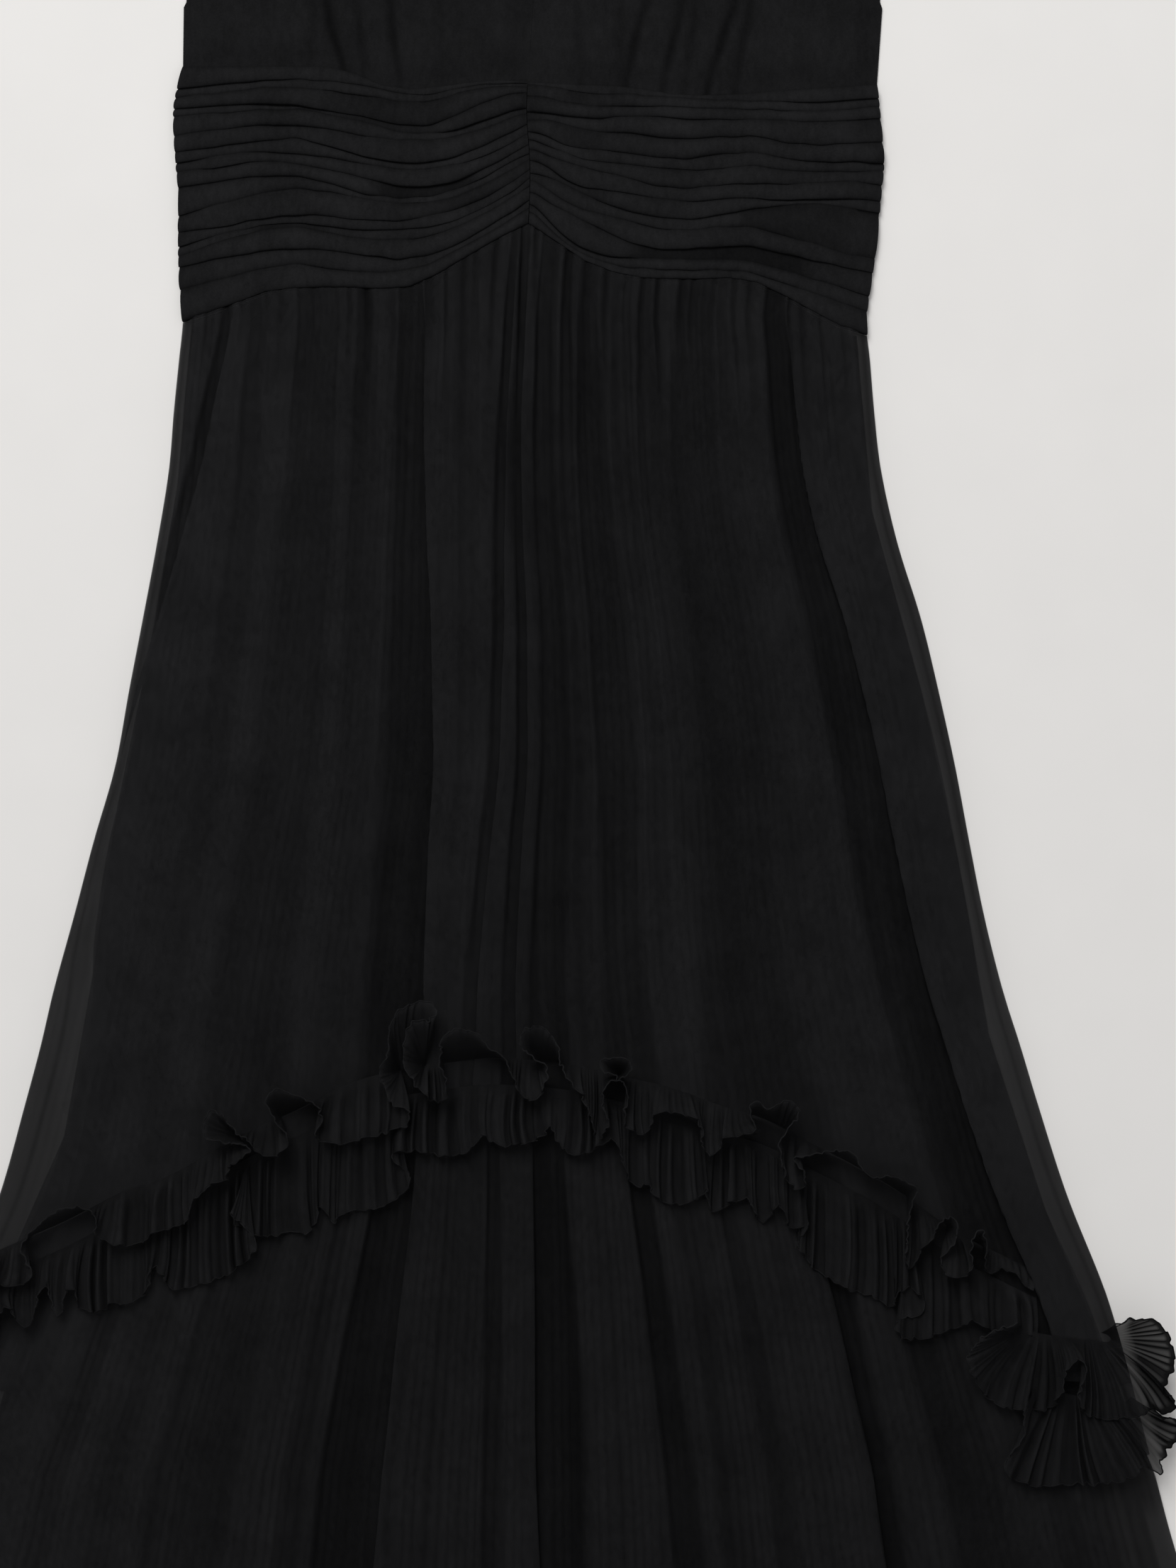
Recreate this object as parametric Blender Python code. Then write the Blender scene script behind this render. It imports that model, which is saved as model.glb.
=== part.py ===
"""A sleeveless chiffon maxi dress, laid flat on its back.

The dress lies along Y with its neck at +Y and its front up, so +Z points out of the cloth. The origin is on
the surface that it lies on, under the middle of its outline. Sizes are in millimetres, and MM turns them to
metres. Across a skirt or the band, u runs from -1 at the left edge to +1 at the right edge, seen from above.
"""

import math
from collections import namedtuple

import bpy
from mathutils import Vector

MM = 0.001

# Driving sizes
LENGTH = 1470  # from the shoulder's top to the hem
HEM_WIDTH = 920
WALL = 1.0  # cloth
SEAM = 0.3  # gap between two pieces at a seam, or where one lies on another
CHORD_SEAM = 0.8  # the same where the two pieces' columns stand in different places
FRILL_DEPTH = 38
FRILL_SPACING = 24  # from the upper frill's seam down to the lower frill's
LINING_HEM = -560
LINING_INSET_TOP, LINING_INSET_HEM = 30, 38  # its sides, inside the over-skirt's

TOP = LENGTH / 2
HEM = -LENGTH / 2
HEM_LIFT = 30  # the hem's ends lie this much higher than its middle

# The stack of layers under the front of the over-skirt, from the surface up
LAYER = WALL + SEAM
LINING_THICKNESS = 1.6  # its two layers, pressed together
LINING_LOW = 2 * LAYER
UNDER_FRONT_LOW = LINING_LOW + LINING_THICKNESS + SEAM
OVER_FRONT_LOW = UNDER_FRONT_LOW + LAYER
OVER_FOLD = 4.0  # height of the over-skirt's folds at mid length
UNDER_FOLD = 3.4
FOLD_GROWTH = 46  # from the over-skirt's hem to where the under-skirt's folds are at full height
UNDER_INSET = 10  # the under-skirt's edge, inside the over-skirt's
UNDER_SHOWS_BELOW, UNDER_SHOWS_OVER = -300, 50  # below this height it reaches the outline, over this length
STEP_CLEARANCE = 3  # from the back frills to where the under-skirt's back comes down to the surface
STEP_LENGTH = 26
EDGE_ROLL = 9  # how far in from its edge a skirt has come up onto the layers inside it

Section = namedtuple("Section", "y left right")
OUTLINE = [
    Section(HEM + HEM_LIFT, -HEM_WIDTH / 2, HEM_WIDTH / 2),
    Section(-520, -402, 402),
    Section(-340, -345, 345),
    Section(-212, -309, 311),
    Section(-150, -285, 286),
    Section(-70, -261, 261),
    Section(26, -237, 236),
    Section(121, -210, 215),
    Section(213, -198, 191),
    Section(270, -192, 184),
    Section(300, -188, 179),
    Section(312, -186, 176),
    Section(332, -187.6, 179.5),
    Section(361, -188, 183),
    Section(390, -188.5, 185),
    Section(404, -190.5, 187.5),
    Section(433, -191, 185.5),
    Section(456, -185, 181.5),
]

BandEdge = namedtuple("BandEdge", "u top bottom")
BAND_EDGES = [
    BandEdge(-1.00, 456, 319),
    BandEdge(-0.86, 456, 327),
    BandEdge(-0.74, 456, 335),
    BandEdge(-0.55, 455, 337),
    BandEdge(-0.39, 445, 336),
    BandEdge(-0.30, 444, 339),
    BandEdge(-0.20, 447, 350),
    BandEdge(-0.10, 449, 361),
    BandEdge(0.00, 448, 371),
    BandEdge(0.10, 447, 359),
    BandEdge(0.18, 446, 350),
    BandEdge(0.30, 445, 343),
    BandEdge(0.45, 441, 341),
    BandEdge(0.64, 442, 341),
    BandEdge(0.81, 444, 327),
    BandEdge(0.90, 445, 318),
    BandEdge(1.00, 446, 312),
]
CENTRE_GAP_U = SEAM / 2 / 185  # the centre seam's half gap, in u

# Where each crosswise pleat ends, as a share of the band's height from its top
Pleat = namedtuple("Pleat", "side centre height")
LEFT_PLEATS = [
    Pleat(0.050, 0.06, 1.2),
    Pleat(0.092, 0.11, 1.4),
    Pleat(0.140, 0.16, 1.9),
    Pleat(0.205, 0.24, 1.5),
    Pleat(0.266, 0.30, 2.1),
    Pleat(0.325, 0.35, 1.5),
    Pleat(0.365, 0.40, 1.3),
    Pleat(0.405, 0.45, 1.9),
    Pleat(0.470, 0.53, 2.1),
    Pleat(0.535, 0.58, 1.5),
    Pleat(0.590, 0.66, 2.3),
    Pleat(0.640, 0.71, 1.4),
    Pleat(0.678, 0.75, 1.4),
    Pleat(0.712, 0.79, 1.6),
    Pleat(0.750, 0.83, 1.8),
    Pleat(0.805, 0.87, 1.6),
    Pleat(0.868, 0.92, 2.2),
    Pleat(0.936, 0.96, 1.8),
    Pleat(1.000, 1.00, 2.4),
]
RIGHT_PLEATS = [
    Pleat(0.035, 0.05, 1.2),
    Pleat(0.078, 0.10, 1.3),
    Pleat(0.120, 0.15, 1.4),
    Pleat(0.168, 0.22, 1.9),
    Pleat(0.236, 0.29, 2.2),
    Pleat(0.310, 0.35, 1.8),
    Pleat(0.352, 0.40, 1.5),
    Pleat(0.390, 0.45, 2.1),
    Pleat(0.432, 0.50, 1.4),
    Pleat(0.482, 0.55, 1.7),
    Pleat(0.540, 0.62, 1.9),
    Pleat(0.596, 0.68, 1.5),
    Pleat(0.640, 0.73, 1.6),
    Pleat(0.685, 0.78, 2.2),
    Pleat(0.735, 0.83, 1.5),
    Pleat(0.785, 0.87, 1.5),
    Pleat(0.850, 0.91, 2.3),
    Pleat(0.920, 0.95, 1.7),
    Pleat(1.000, 1.00, 2.4),
]
PLEAT_DROP_SHARE = 0.14  # of a pleat's depth, over which the cloth falls back under its edge
PLEAT_ROOT = 0.25  # of a pleat's height, where it comes out from under the one above
PLEAT_TOOTH = 0.9  # how far the pleats step in and out at the side seams
BAND_WALL = 1.1
BAND_BACK_THICKNESS = 1.0
BAND_RISE = 3.6  # its lower edge lies this much higher than its upper edge, on the skirts' seams
BAND_EDGE_ROLL = 22
SEAM_STEPS = 24  # columns along the whole seam between band and bodice or skirt

# A valley between two folds of a skirt: its place in u and its floor's width at the band and at the hem, how
# deep it is as a share of the skirt's fold height, and the width of its left and right flanks
Valley = namedtuple("Valley", "top hem width_top width_hem depth left_flank right_flank")
OVER_VALLEYS = [
    Valley(-0.875, -0.930, 3.0, 7, 0.80, 3, 7),
    Valley(-0.765, -0.810, 2.5, 6, 0.35, 4, 4),
    Valley(-0.640, -0.670, 3.5, 22, 0.85, 5, 6),
    Valley(-0.430, -0.470, 2.5, 7, 0.35, 5, 5),
    Valley(-0.320, -0.255, 3.0, 17, 1.00, 6, 3),
    Valley(-0.140, -0.135, 2.0, 6, 0.70, 3, 2),
    Valley(-0.060, -0.040, 2.0, 5, 0.65, 2, 3),
    Valley(0.020, 0.035, 2.5, 13, 0.75, 3, 2.5),
    Valley(0.105, 0.120, 2.0, 4, 0.40, 3, 3),
    Valley(0.175, 0.195, 2.5, 12, 0.65, 3, 4),
    Valley(0.260, 0.300, 2.0, 7, 0.35, 4, 4),
    Valley(0.355, 0.400, 2.0, 6, 0.35, 4, 4),
    Valley(0.465, 0.525, 3.5, 32, 0.85, 5, 7),
    Valley(0.600, 0.655, 2.0, 6, 0.30, 5, 5),
    Valley(0.725, 0.775, 4.0, 30, 1.00, 6, 3),
    Valley(0.890, 0.905, 2.0, 7, 0.35, 4, 4),
]
UNDER_VALLEYS = [
    Valley(-0.88, -0.88, 5, 9, 0.45, 6, 6),
    Valley(-0.77, -0.77, 5, 9, 0.45, 6, 6),
    Valley(-0.67, -0.67, 5, 8, 0.40, 5, 5),
    Valley(-0.55, -0.55, 30, 48, 0.75, 7, 6),
    Valley(-0.29, -0.28, 24, 44, 1.00, 5, 6),
    Valley(-0.16, -0.16, 3, 7, 0.40, 5, 5),
    Valley(-0.06, -0.06, 4, 9, 0.75, 4, 4),
    Valley(0.02, 0.045, 20, 32, 1.00, 4, 5),
    Valley(0.22, 0.24, 8, 16, 0.95, 3, 5),
    Valley(0.31, 0.31, 4, 9, 0.45, 5, 5),
    Valley(0.40, 0.39, 6, 11, 0.60, 5, 5),
    Valley(0.56, 0.54, 9, 15, 0.95, 5, 3),
    Valley(0.70, 0.68, 17, 24, 0.65, 7, 7),
    Valley(0.81, 0.81, 20, 30, 0.70, 6, 6),
    Valley(0.92, 0.92, 5, 9, 0.40, 5, 5),
]
FLANK_AT_BAND = 0.4  # of a flank's width, growing to all of it over FLANK_GROWTH of the length
FLANK_GROWTH = 0.4
FOLD_CROWN = 1.12  # the middle of a fold, against its shoulders
EdgeColumn = namedtuple("EdgeColumn", "u height")
EDGE_COLUMNS = [EdgeColumn(1, 0.0), EdgeColumn(0.985, 0.45), EdgeColumn(0.965, 0.8)]
BAND_PRESS = 0.35  # fold height at the band, as a share of full height
HEM_PRESS = 0.55  # and at the over-skirt's hem, under the frills
OVER_ROWS = [0, 0.05, 0.14, 0.28, 0.45, 0.62, 0.76, 0.88, 1]
UNDER_ROWS = [0, 0.08, 0.18, 0.34, 0.56, 0.78, 0.88, 1]  # from the over-skirt's hem down
LINING_STEP_TOP, LINING_STEP_FOOT = -607, -652  # where the under-skirt comes down off the lining

# The upper frill's seam across the front of the over-skirt
FrillSeam = namedtuple("FrillSeam", "u y")
FRONT_SEAM = [
    FrillSeam(-1.00, -176),
    FrillSeam(-0.90, -157),
    FrillSeam(-0.76, -136),
    FrillSeam(-0.60, -112),
    FrillSeam(-0.42, -94),
    FrillSeam(-0.26, -80),
    FrillSeam(-0.12, -69),
    FrillSeam(0.01, -67),
    FrillSeam(0.19, -80),
    FrillSeam(0.38, -105),
    FrillSeam(0.52, -121),
    FrillSeam(0.68, -158),
    FrillSeam(0.83, -200),
    FrillSeam(0.92, -220),
    FrillSeam(1.00, -231),
]
BACK_SEAM_DROP = 42  # the back's seam hangs this much below the straight line between the side seams

# Waves of the two front frills, from left to right: length along the seam as a share of the mean, and how far
# each frill's free edge swings up and over, in degrees. The lower frill nests in the upper one.
Wave = namedtuple("Wave", "share upper lower")
WAVES = [
    Wave(0.95, 62, 55),
    Wave(0.90, 78, 62),
    Wave(1.15, 58, 56),
    Wave(1.10, 64, 52),
    Wave(0.85, 106, 60),
    Wave(0.85, 94, 66),
    Wave(1.15, 60, 54),
    Wave(0.90, 132, 60),
    Wave(1.30, 70, 58),
    Wave(0.80, 68, 62),
    Wave(0.85, 96, 60),
    Wave(1.05, 58, 54),
    Wave(0.85, 86, 70),
    Wave(0.80, 108, 64),
    Wave(1.35, 64, 56),
    Wave(0.85, 110, 72),
    Wave(0.80, 92, 66),
    Wave(1.25, 60, 56),
    Wave(1.10, 68, 60),
    Wave(0.90, 72, 60),
]
WAVE_POINTS = 8
WAVE_BEND = math.radians(80)  # the most that the free edge turns from the seam's direction
WAVE_BEND_AT_SEAM = math.radians(3)
WAVE_LOW = math.radians(5)
WAVE_FLATTEN = 0.30  # a frill on a laid-out dress collapses to this share of its standing height
FRILL_ROWS = [0, 0.5, 1]
FRILL_RISE = 4.0  # from a frill's seam to its free edge
FRILL_SEAT = 0.4
FRILL_ROOT = OVER_FOLD * HEM_PRESS * FOLD_CROWN + WALL + FRILL_SEAT  # its seam, above the over-skirt's base
FRILL_OVERRUN = 7  # past the skirt's side edge
SEAM_PATH_STEPS = 120
NORMAL_REACH = 8  # steps of the seam's path on each side over which its direction is evened out
BACK_SCALLOP = 2.2  # of the lower back frill's free edge
BACK_SCALLOPS = 16

# The bodice's right half, from the band to the shoulder: its centre or neck edge and its side or armhole edge
BodiceSection = namedtuple("BodiceSection", "inner_y inner_x outer_y outer_x")
BODICE_SECTIONS = [
    BodiceSection(491, 0, 491, 186.5),
    BodiceSection(530, 0, 528, 188.5),
    BodiceSection(548, 0, 540, 174),
    BodiceSection(565, 0, 560, 160),
    BodiceSection(600, 19, 592, 148),
    BodiceSection(645, 42, 634, 138),
    BodiceSection(690, 64, 678, 132),
    BodiceSection(TOP, 86, 722, 128),
]
BACK_NECK_DROP = 42
BUST_PUFF = 7.0
BUST_X, BUST_Y = 95, 560
BUST_REACH = 95

# A gather above the band: where it is at the band and 41 mm above it, and its depth
Gather = namedtuple("Gather", "x lean depth")
LEFT_GATHERS = [Gather(-120, -2, 1.2), Gather(-107, -5, 2.4), Gather(-75, 1, 2.2)]
RIGHT_GATHERS = [
    Gather(25, 1, 0.9),
    Gather(53, 4, 2.2),
    Gather(75, 6, 2.0),
    Gather(98, 10, 2.4),
    Gather(112, 6, 2.2),
]
BODICE_EASE = 2.4  # how far the front stands off the back beside its gathers
BODICE_FOOT_ROW = 0.45  # a row this far up from the band to the lowest section
GATHER_LEAN_HEIGHT = 41
GATHER_END_Y = 572
GATHER_WIDTH = 4.5
CLOSEST_COLUMNS = 0.012  # of the half width

# Base colour of each piece, as linear RGB
BLACKS = {
    "bodice": (0.0095, 0.0095, 0.0100),
    "band": (0.0092, 0.0092, 0.0097),
    "over": (0.0100, 0.0100, 0.0108),
    "frill": (0.0086, 0.0086, 0.0090),
    "under": (0.0088, 0.0088, 0.0094),
    "lining": (0.0035, 0.0035, 0.0040),
}
CLOTH_ROUGHNESS = 0.85
LINING_ROUGHNESS = 0.45


def smooth(share):
    """0 below 0, 1 above 1, and an even S between."""
    share = min(max(share, 0.0), 1.0)
    return share * share * (3 - 2 * share)


def mix(a, b, share):
    return a + (b - a) * share


def along(table, key, value, at):
    """The value at a place in a table, on a smooth curve through its rows, which go up in the key column."""
    keys = [getattr(row, key) for row in table]
    values = [getattr(row, value) for row in table]
    if at <= keys[0]:
        return values[0]
    if at >= keys[-1]:
        return values[-1]
    i = next(n for n in range(1, len(keys)) if at <= keys[n])
    step = keys[i] - keys[i - 1]

    def slope(n):
        low, high = max(n - 1, 0), min(n + 1, len(keys) - 1)
        return (values[high] - values[low]) / (keys[high] - keys[low])

    t = (at - keys[i - 1]) / step
    start, end = slope(i - 1) * step, slope(i) * step
    rise = values[i] - values[i - 1]
    return values[i - 1] + t * (start + t * (3 * rise - 2 * start - end + t * (start + end - 2 * rise)))


def cloth_material(name, colour, roughness=CLOTH_ROUGHNESS):
    material = bpy.data.materials.new(name)
    material.use_nodes = True
    shader = material.node_tree.nodes["Principled BSDF"]
    shader.inputs["Base Color"].default_value = (*colour, 1.0)
    shader.inputs["Roughness"].default_value = roughness
    return material


def piece(name, points, faces, colour, roughness=CLOTH_ROUGHNESS):
    """Makes one named solid from points in millimetres."""
    mesh = bpy.data.meshes.new(name)
    mesh.from_pydata([(x * MM, y * MM, z * MM) for x, y, z in points], [], faces)
    mesh.validate()
    mesh.shade_smooth()
    mesh.set_sharp_from_angle(angle=math.radians(50))
    made = bpy.data.objects.new(name, mesh)
    bpy.context.scene.collection.objects.link(made)
    made.data.materials.append(cloth_material(name, colour, roughness))
    return made


def border(rows, columns):
    """The indices round a grid of points, anticlockwise seen from above when row 0 is nearest the neck."""
    left = [r * columns for r in range(rows)]
    foot = [(rows - 1) * columns + c for c in range(1, columns)]
    right = [r * columns + columns - 1 for r in range(rows - 2, -1, -1)]
    head = [c for c in range(columns - 2, 0, -1)]
    return left + foot + right + head


def wall(name, outer, inner, colour, roughness=CLOTH_ROUGHNESS):
    """Closes two like grids into a wall. Rows run from the neck down, and columns from left to right."""
    rows, columns = len(outer), len(outer[0])
    count = rows * columns
    points = [p for row in outer for p in row] + [p for row in inner for p in row]
    faces = []
    for r in range(rows - 1):
        for c in range(columns - 1):
            a = r * columns + c
            quad = (a, a + columns, a + columns + 1, a + 1)
            faces.append(quad)
            faces.append(tuple(count + i for i in (a, a + 1, a + columns + 1, a + columns)))
    ring = border(rows, columns)
    for a, b in zip(ring, ring[1:] + ring[:1]):
        faces.append((b, a, count + a, count + b))
    return piece(name, points, faces, colour, roughness)


def plain_inside_wall(name, outer, inside, colour):
    """A wall whose outer points carry relief over a plain inside. inside gives the height under a point."""
    rows, columns = len(outer), len(outer[0])
    points = [p for row in outer for p in row]
    ring = border(rows, columns)
    under = {}
    for i in ring:
        under[i] = len(points) + len(under)
    points += [(points[i][0], points[i][1], inside(points[i][0], points[i][1])) for i in ring]
    faces = []
    for r in range(rows - 1):
        for c in range(columns - 1):
            a = r * columns + c
            faces.append((a, a + columns, a + columns + 1, a + 1))
    for a, b in zip(ring, ring[1:] + ring[:1]):
        faces.append((b, a, under[a], under[b]))
    last_row = (rows - 1) * columns
    for c in range(columns - 1):
        left = [r * columns for r in range(1, rows - 1)] if c == 0 else []
        right = [r * columns + columns - 1 for r in range(rows - 2, 0, -1)] if c == columns - 2 else []
        strip = [c] + left + [last_row + c, last_row + c + 1] + right + [c + 1]
        faces.append(tuple(under[i] for i in reversed(strip)))
    return piece(name, points, faces, colour)


def plate(name, outline, low, high, colour, roughness=CLOTH_ROUGHNESS):
    """A flat piece of cloth with an outline that runs anticlockwise, seen from above."""
    count = len(outline)
    points = [(x, y, high) for x, y in outline] + [(x, y, low) for x, y in outline]
    faces = [tuple(range(count)), tuple(range(2 * count - 1, count - 1, -1))]
    for a in range(count):
        b = (a + 1) % count
        faces.append((b, a, count + a, count + b))
    return piece(name, points, faces, colour, roughness)


def across(u, y, inset=0.0):
    """Where u is in the dress's width at a height."""
    left = along(OUTLINE, "y", "left", y) + inset
    right = along(OUTLINE, "y", "right", y) - inset
    return mix(left, right, (u + 1) / 2)


def half_width(y):
    return (across(1, y) - across(-1, y)) / 2


def band_edge(u, which):
    """One of the band's long edges: straight between the columns that the pieces at the seam share."""
    place = (min(max(u, -1), 1) + 1) / 2 * SEAM_STEPS
    step = min(int(place), SEAM_STEPS - 1)
    ends = [along(BAND_EDGES, "u", which, 2 * n / SEAM_STEPS - 1) for n in (step, step + 1)]
    return mix(*ends, place - step)


def band_top(u):
    return band_edge(u, "top")


def band_bottom(u):
    return band_edge(u, "bottom")


def skirt_top(u):
    return band_bottom(u) - SEAM


def front_seam(u):
    return along(FRONT_SEAM, "u", "y", u)


def over_hem(u):
    """The lower edge of the over-skirt's front, where the lower frill is sewn."""
    return front_seam(u) - FRILL_SPACING


def back_seam(u):
    """The upper frill's seam across the back."""
    ends = mix(front_seam(-1), front_seam(1), (u + 1) / 2)
    return ends - BACK_SEAM_DROP * (1 - u * u)


def back_frill_end(u):
    """The free edge of the lower frill across the back."""
    return back_seam(u) - FRILL_SPACING - FRILL_DEPTH


def hem(u):
    return HEM + HEM_LIFT * u * u


def spread(count, low=-1.0, high=1.0):
    return [mix(low, high, i / (count - 1)) for i in range(count)]


# Back of the dress, which lies flat on the surface


def bodice_side_edge():
    """The side and armhole edge of the right half, from the band up."""
    return [(section.outer_x, section.outer_y) for section in BODICE_SECTIONS]


def make_bodice_back():
    right = [(across(1, band_top(1)), band_top(1) + SEAM)] + bodice_side_edge()
    left = [(across(-1, band_top(-1)), band_top(-1) + SEAM)]
    left += [(-x, y) for x, y in bodice_side_edge()]
    strap = BODICE_SECTIONS[-1].inner_x
    steps = 10
    neck = [
        (strap * math.cos(math.pi * i / steps), TOP - BACK_NECK_DROP * math.sin(math.pi * i / steps))
        for i in range(steps + 1)
    ]
    foot = [(across(u, band_top(u)), band_top(u) + SEAM) for u in spread(SEAM_STEPS + 1)[1:-1]]
    plate("bodice_back", right + neck + left[::-1] + foot, 0, WALL, BLACKS["bodice"])


def make_band_back():
    head = [(across(u, band_top(u)), band_top(u)) for u in spread(SEAM_STEPS + 1)]
    foot = [(across(u, band_bottom(u)), band_bottom(u)) for u in spread(SEAM_STEPS + 1)]
    heights = [row.y for row in OUTLINE if band_bottom(-1) < row.y < band_top(1)]
    left = [(across(-1, y), y) for y in heights]
    right = [(across(1, y), y) for y in heights]
    plate("band_back", foot + right + head[::-1] + left[::-1], 0, BAND_BACK_THICKNESS, BLACKS["band"])


def skirt_outline(top, bottom, inset, columns):
    """A skirt panel's outline between two edges given as heights at u, anticlockwise from its lower left."""
    sides = 12  # steps up each side
    foot = [(across(u, bottom(u), inset), bottom(u)) for u in spread(columns)]
    head = [(across(u, top(u), inset), top(u)) for u in spread(columns)]

    def side(u):
        return [mix(bottom(u), top(u), i / sides) for i in range(1, sides)]

    left = [(across(-1, y, inset), y) for y in side(-1)]
    right = [(across(1, y, inset), y) for y in side(1)]
    return foot + right + head[::-1] + left[::-1]


def make_over_skirt_back():
    outline = skirt_outline(skirt_top, back_seam, 0, SEAM_STEPS + 1)
    plate("over_skirt_back", outline, 0, WALL, BLACKS["over"])


def make_back_frills():
    """Two strips pressed flat under the back. The upper one hides the top of the lower one."""
    steps = 4 * BACK_SCALLOPS

    def upper_end(u):
        return back_seam(u) - FRILL_DEPTH

    def lower_end(u):
        return back_frill_end(u) - BACK_SCALLOP * abs(math.sin(math.pi * BACK_SCALLOPS * (u + 1) / 2))

    for name, start, end in (
        ("frill_upper_back", lambda u: back_seam(u) - SEAM, upper_end),
        ("frill_lower_back", lambda u: upper_end(u) - SEAM, lower_end),
    ):
        head = [(across(u, start(u)), start(u)) for u in spread(SEAM_STEPS + 1)]
        foot = [(across(u, end(u)), end(u)) for u in spread(steps + 1)]
        plate(name, foot + head[::-1], 0, WALL, BLACKS["frill"])


def step_start(u):
    """Where the under-skirt's back starts to come down, just below the back frills."""
    return back_frill_end(u) - BACK_SCALLOP - STEP_CLEARANCE


def under_back_low(y, u):
    """The under-skirt's back lies on the over-skirt's back, and on the surface below its frills."""
    return LAYER * (1 - smooth((step_start(u) - y) / STEP_LENGTH))


def under_inset(y):
    """How far the under-skirt's edge is inside the over-skirt's: none below the frills."""
    return UNDER_INSET * smooth((y - UNDER_SHOWS_BELOW) / UNDER_SHOWS_OVER)


def make_under_skirt_back():
    """Lies on the over-skirt's back, steps down over the back frills and then lies on the surface."""

    def rows(u):
        start = step_start(u)
        end = start - STEP_LENGTH - 1
        top = skirt_top(u) - CHORD_SEAM
        upper = [mix(top, start, share) for share in (0, 0.1, 0.2, 0.32, 0.45, 0.58, 0.72, 0.86)]
        step = [mix(start, end, share) for share in (0, 0.25, 0.5, 0.75, 1)]
        lower = [mix(end, hem(u), share) for share in (0.2, 0.5, 0.75, 1)]
        return upper + step + lower

    inner = []
    for r in range(len(rows(0))):
        inner.append([])
        for u in spread(13):
            y = rows(u)[r]
            inner[-1].append((across(u, y, under_inset(y)), y, under_back_low(y, u)))
    outer = [[(x, y, z + WALL) for x, y, z in row] for row in inner]
    wall("under_skirt_back", outer, inner, BLACKS["under"])


def make_lining():
    """The slip inside the skirts, its front and back pressed together."""

    def inset_side(y):
        return mix(LINING_INSET_TOP, LINING_INSET_HEM, smooth((60 - y) / 300))

    ys = [LINING_HEM, -440, -340, -240, -150, -60, 40, 140, 230]
    left = [(across(-1, y, inset_side(y)), y) for y in ys]
    right = [(across(1, y, inset_side(y)), y) for y in ys]
    head = [(across(u, skirt_top(u), LINING_INSET_TOP), skirt_top(u) - CHORD_SEAM) for u in spread(17)]
    outline = right + head[::-1] + left[::-1]
    plate("lining", outline, LINING_LOW, LINING_LOW + LINING_THICKNESS, BLACKS["lining"], LINING_ROUGHNESS)


# Front of the skirts: walls whose columns follow the folds


def fold_columns(valleys):
    """Each column as a function of how far down the panel it is, which gives u and the height share."""
    columns = []

    def edge_column(u, height):
        columns.append(lambda v, half: (u, height))

    def valley_column(valley, side, outside):
        flank = valley.right_flank if side > 0 else valley.left_flank

        def at(v, half):
            width = mix(valley.width_top, valley.width_hem, v)
            reach = width / 2 + (flank * mix(FLANK_AT_BAND, 1, smooth(v / FLANK_GROWTH)) if outside else 0)
            height = 1 if outside else 1 - valley.depth
            return mix(valley.top, valley.hem, v) + side * reach / half, height

        columns.append(at)

    def crown_column(before, after):
        def at(v, half):
            low, _ = before(v, half)
            high, _ = after(v, half)
            return (low + high) / 2, FOLD_CROWN

        columns.append(at)

    for edge in EDGE_COLUMNS:
        edge_column(-edge.u, edge.height)
    for n, valley in enumerate(valleys):
        place = len(columns)
        valley_column(valley, -1, True)
        if n:
            after = columns.pop()
            crown_column(columns[place - 1], after)
            columns.append(after)
        valley_column(valley, -1, False)
        valley_column(valley, 1, False)
        valley_column(valley, 1, True)
    for edge in reversed(EDGE_COLUMNS):
        edge_column(edge.u, edge.height)
    return columns


def over_front_base(x, y):
    """The height that the over-skirt's front lies at with no folds: down on the back at its side edges."""
    inward = min(x - across(-1, y), across(1, y) - x)
    return mix(LAYER, OVER_FRONT_LOW, smooth(inward / EDGE_ROLL))


def over_fold_height(v):
    """Fold height down the over-skirt: pressed at the band, full at mid length, pressed again at the hem."""
    top = mix(BAND_PRESS, 1, smooth(v / OVER_ROWS[2]))
    press_start, press_end = OVER_ROWS[-3], OVER_ROWS[-2]
    return OVER_FOLD * top * mix(1, HEM_PRESS, smooth((v - press_start) / (press_end - press_start)))


def make_over_skirt_front():
    outer, inner = [], []
    for v in OVER_ROWS:
        row = []
        for column in fold_columns(OVER_VALLEYS):
            half = half_width(mix(skirt_top(0), over_hem(0), v))
            u, height = column(v, half)
            y = mix(skirt_top(u) - CHORD_SEAM, over_hem(u) + SEAM, v)
            x = across(u, y)
            z = over_front_base(x, y) + height * over_fold_height(v)
            row.append((x, y, z))
        inner.append(row)
        outer.append([(x, y, z + WALL) for x, y, z in row])
    wall("over_skirt_front", outer, inner, BLACKS["over"])


def under_front_base(x, y, u):
    """The height that the under-skirt's front lies at with no folds."""
    inset = under_inset(y)
    inward = min(x - across(-1, y, inset), across(1, y, inset) - x)
    edge = LAYER + under_back_low(y + STEP_LENGTH / 2, u)
    on_lining = smooth((y - LINING_STEP_FOOT) / (LINING_STEP_TOP - LINING_STEP_FOOT))
    middle = mix(LAYER, UNDER_FRONT_LOW, on_lining)
    roll = mix(EDGE_ROLL, 2 * EDGE_ROLL, smooth((UNDER_SHOWS_BELOW + UNDER_SHOWS_OVER - y) / UNDER_SHOWS_OVER))
    return mix(edge, max(middle, edge), smooth(inward / roll))


def under_fold_height(y, u):
    """Flat under the over-skirt, with folds growing below its hem."""
    return UNDER_FOLD * smooth((over_hem(u) - y) / FOLD_GROWTH)


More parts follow.
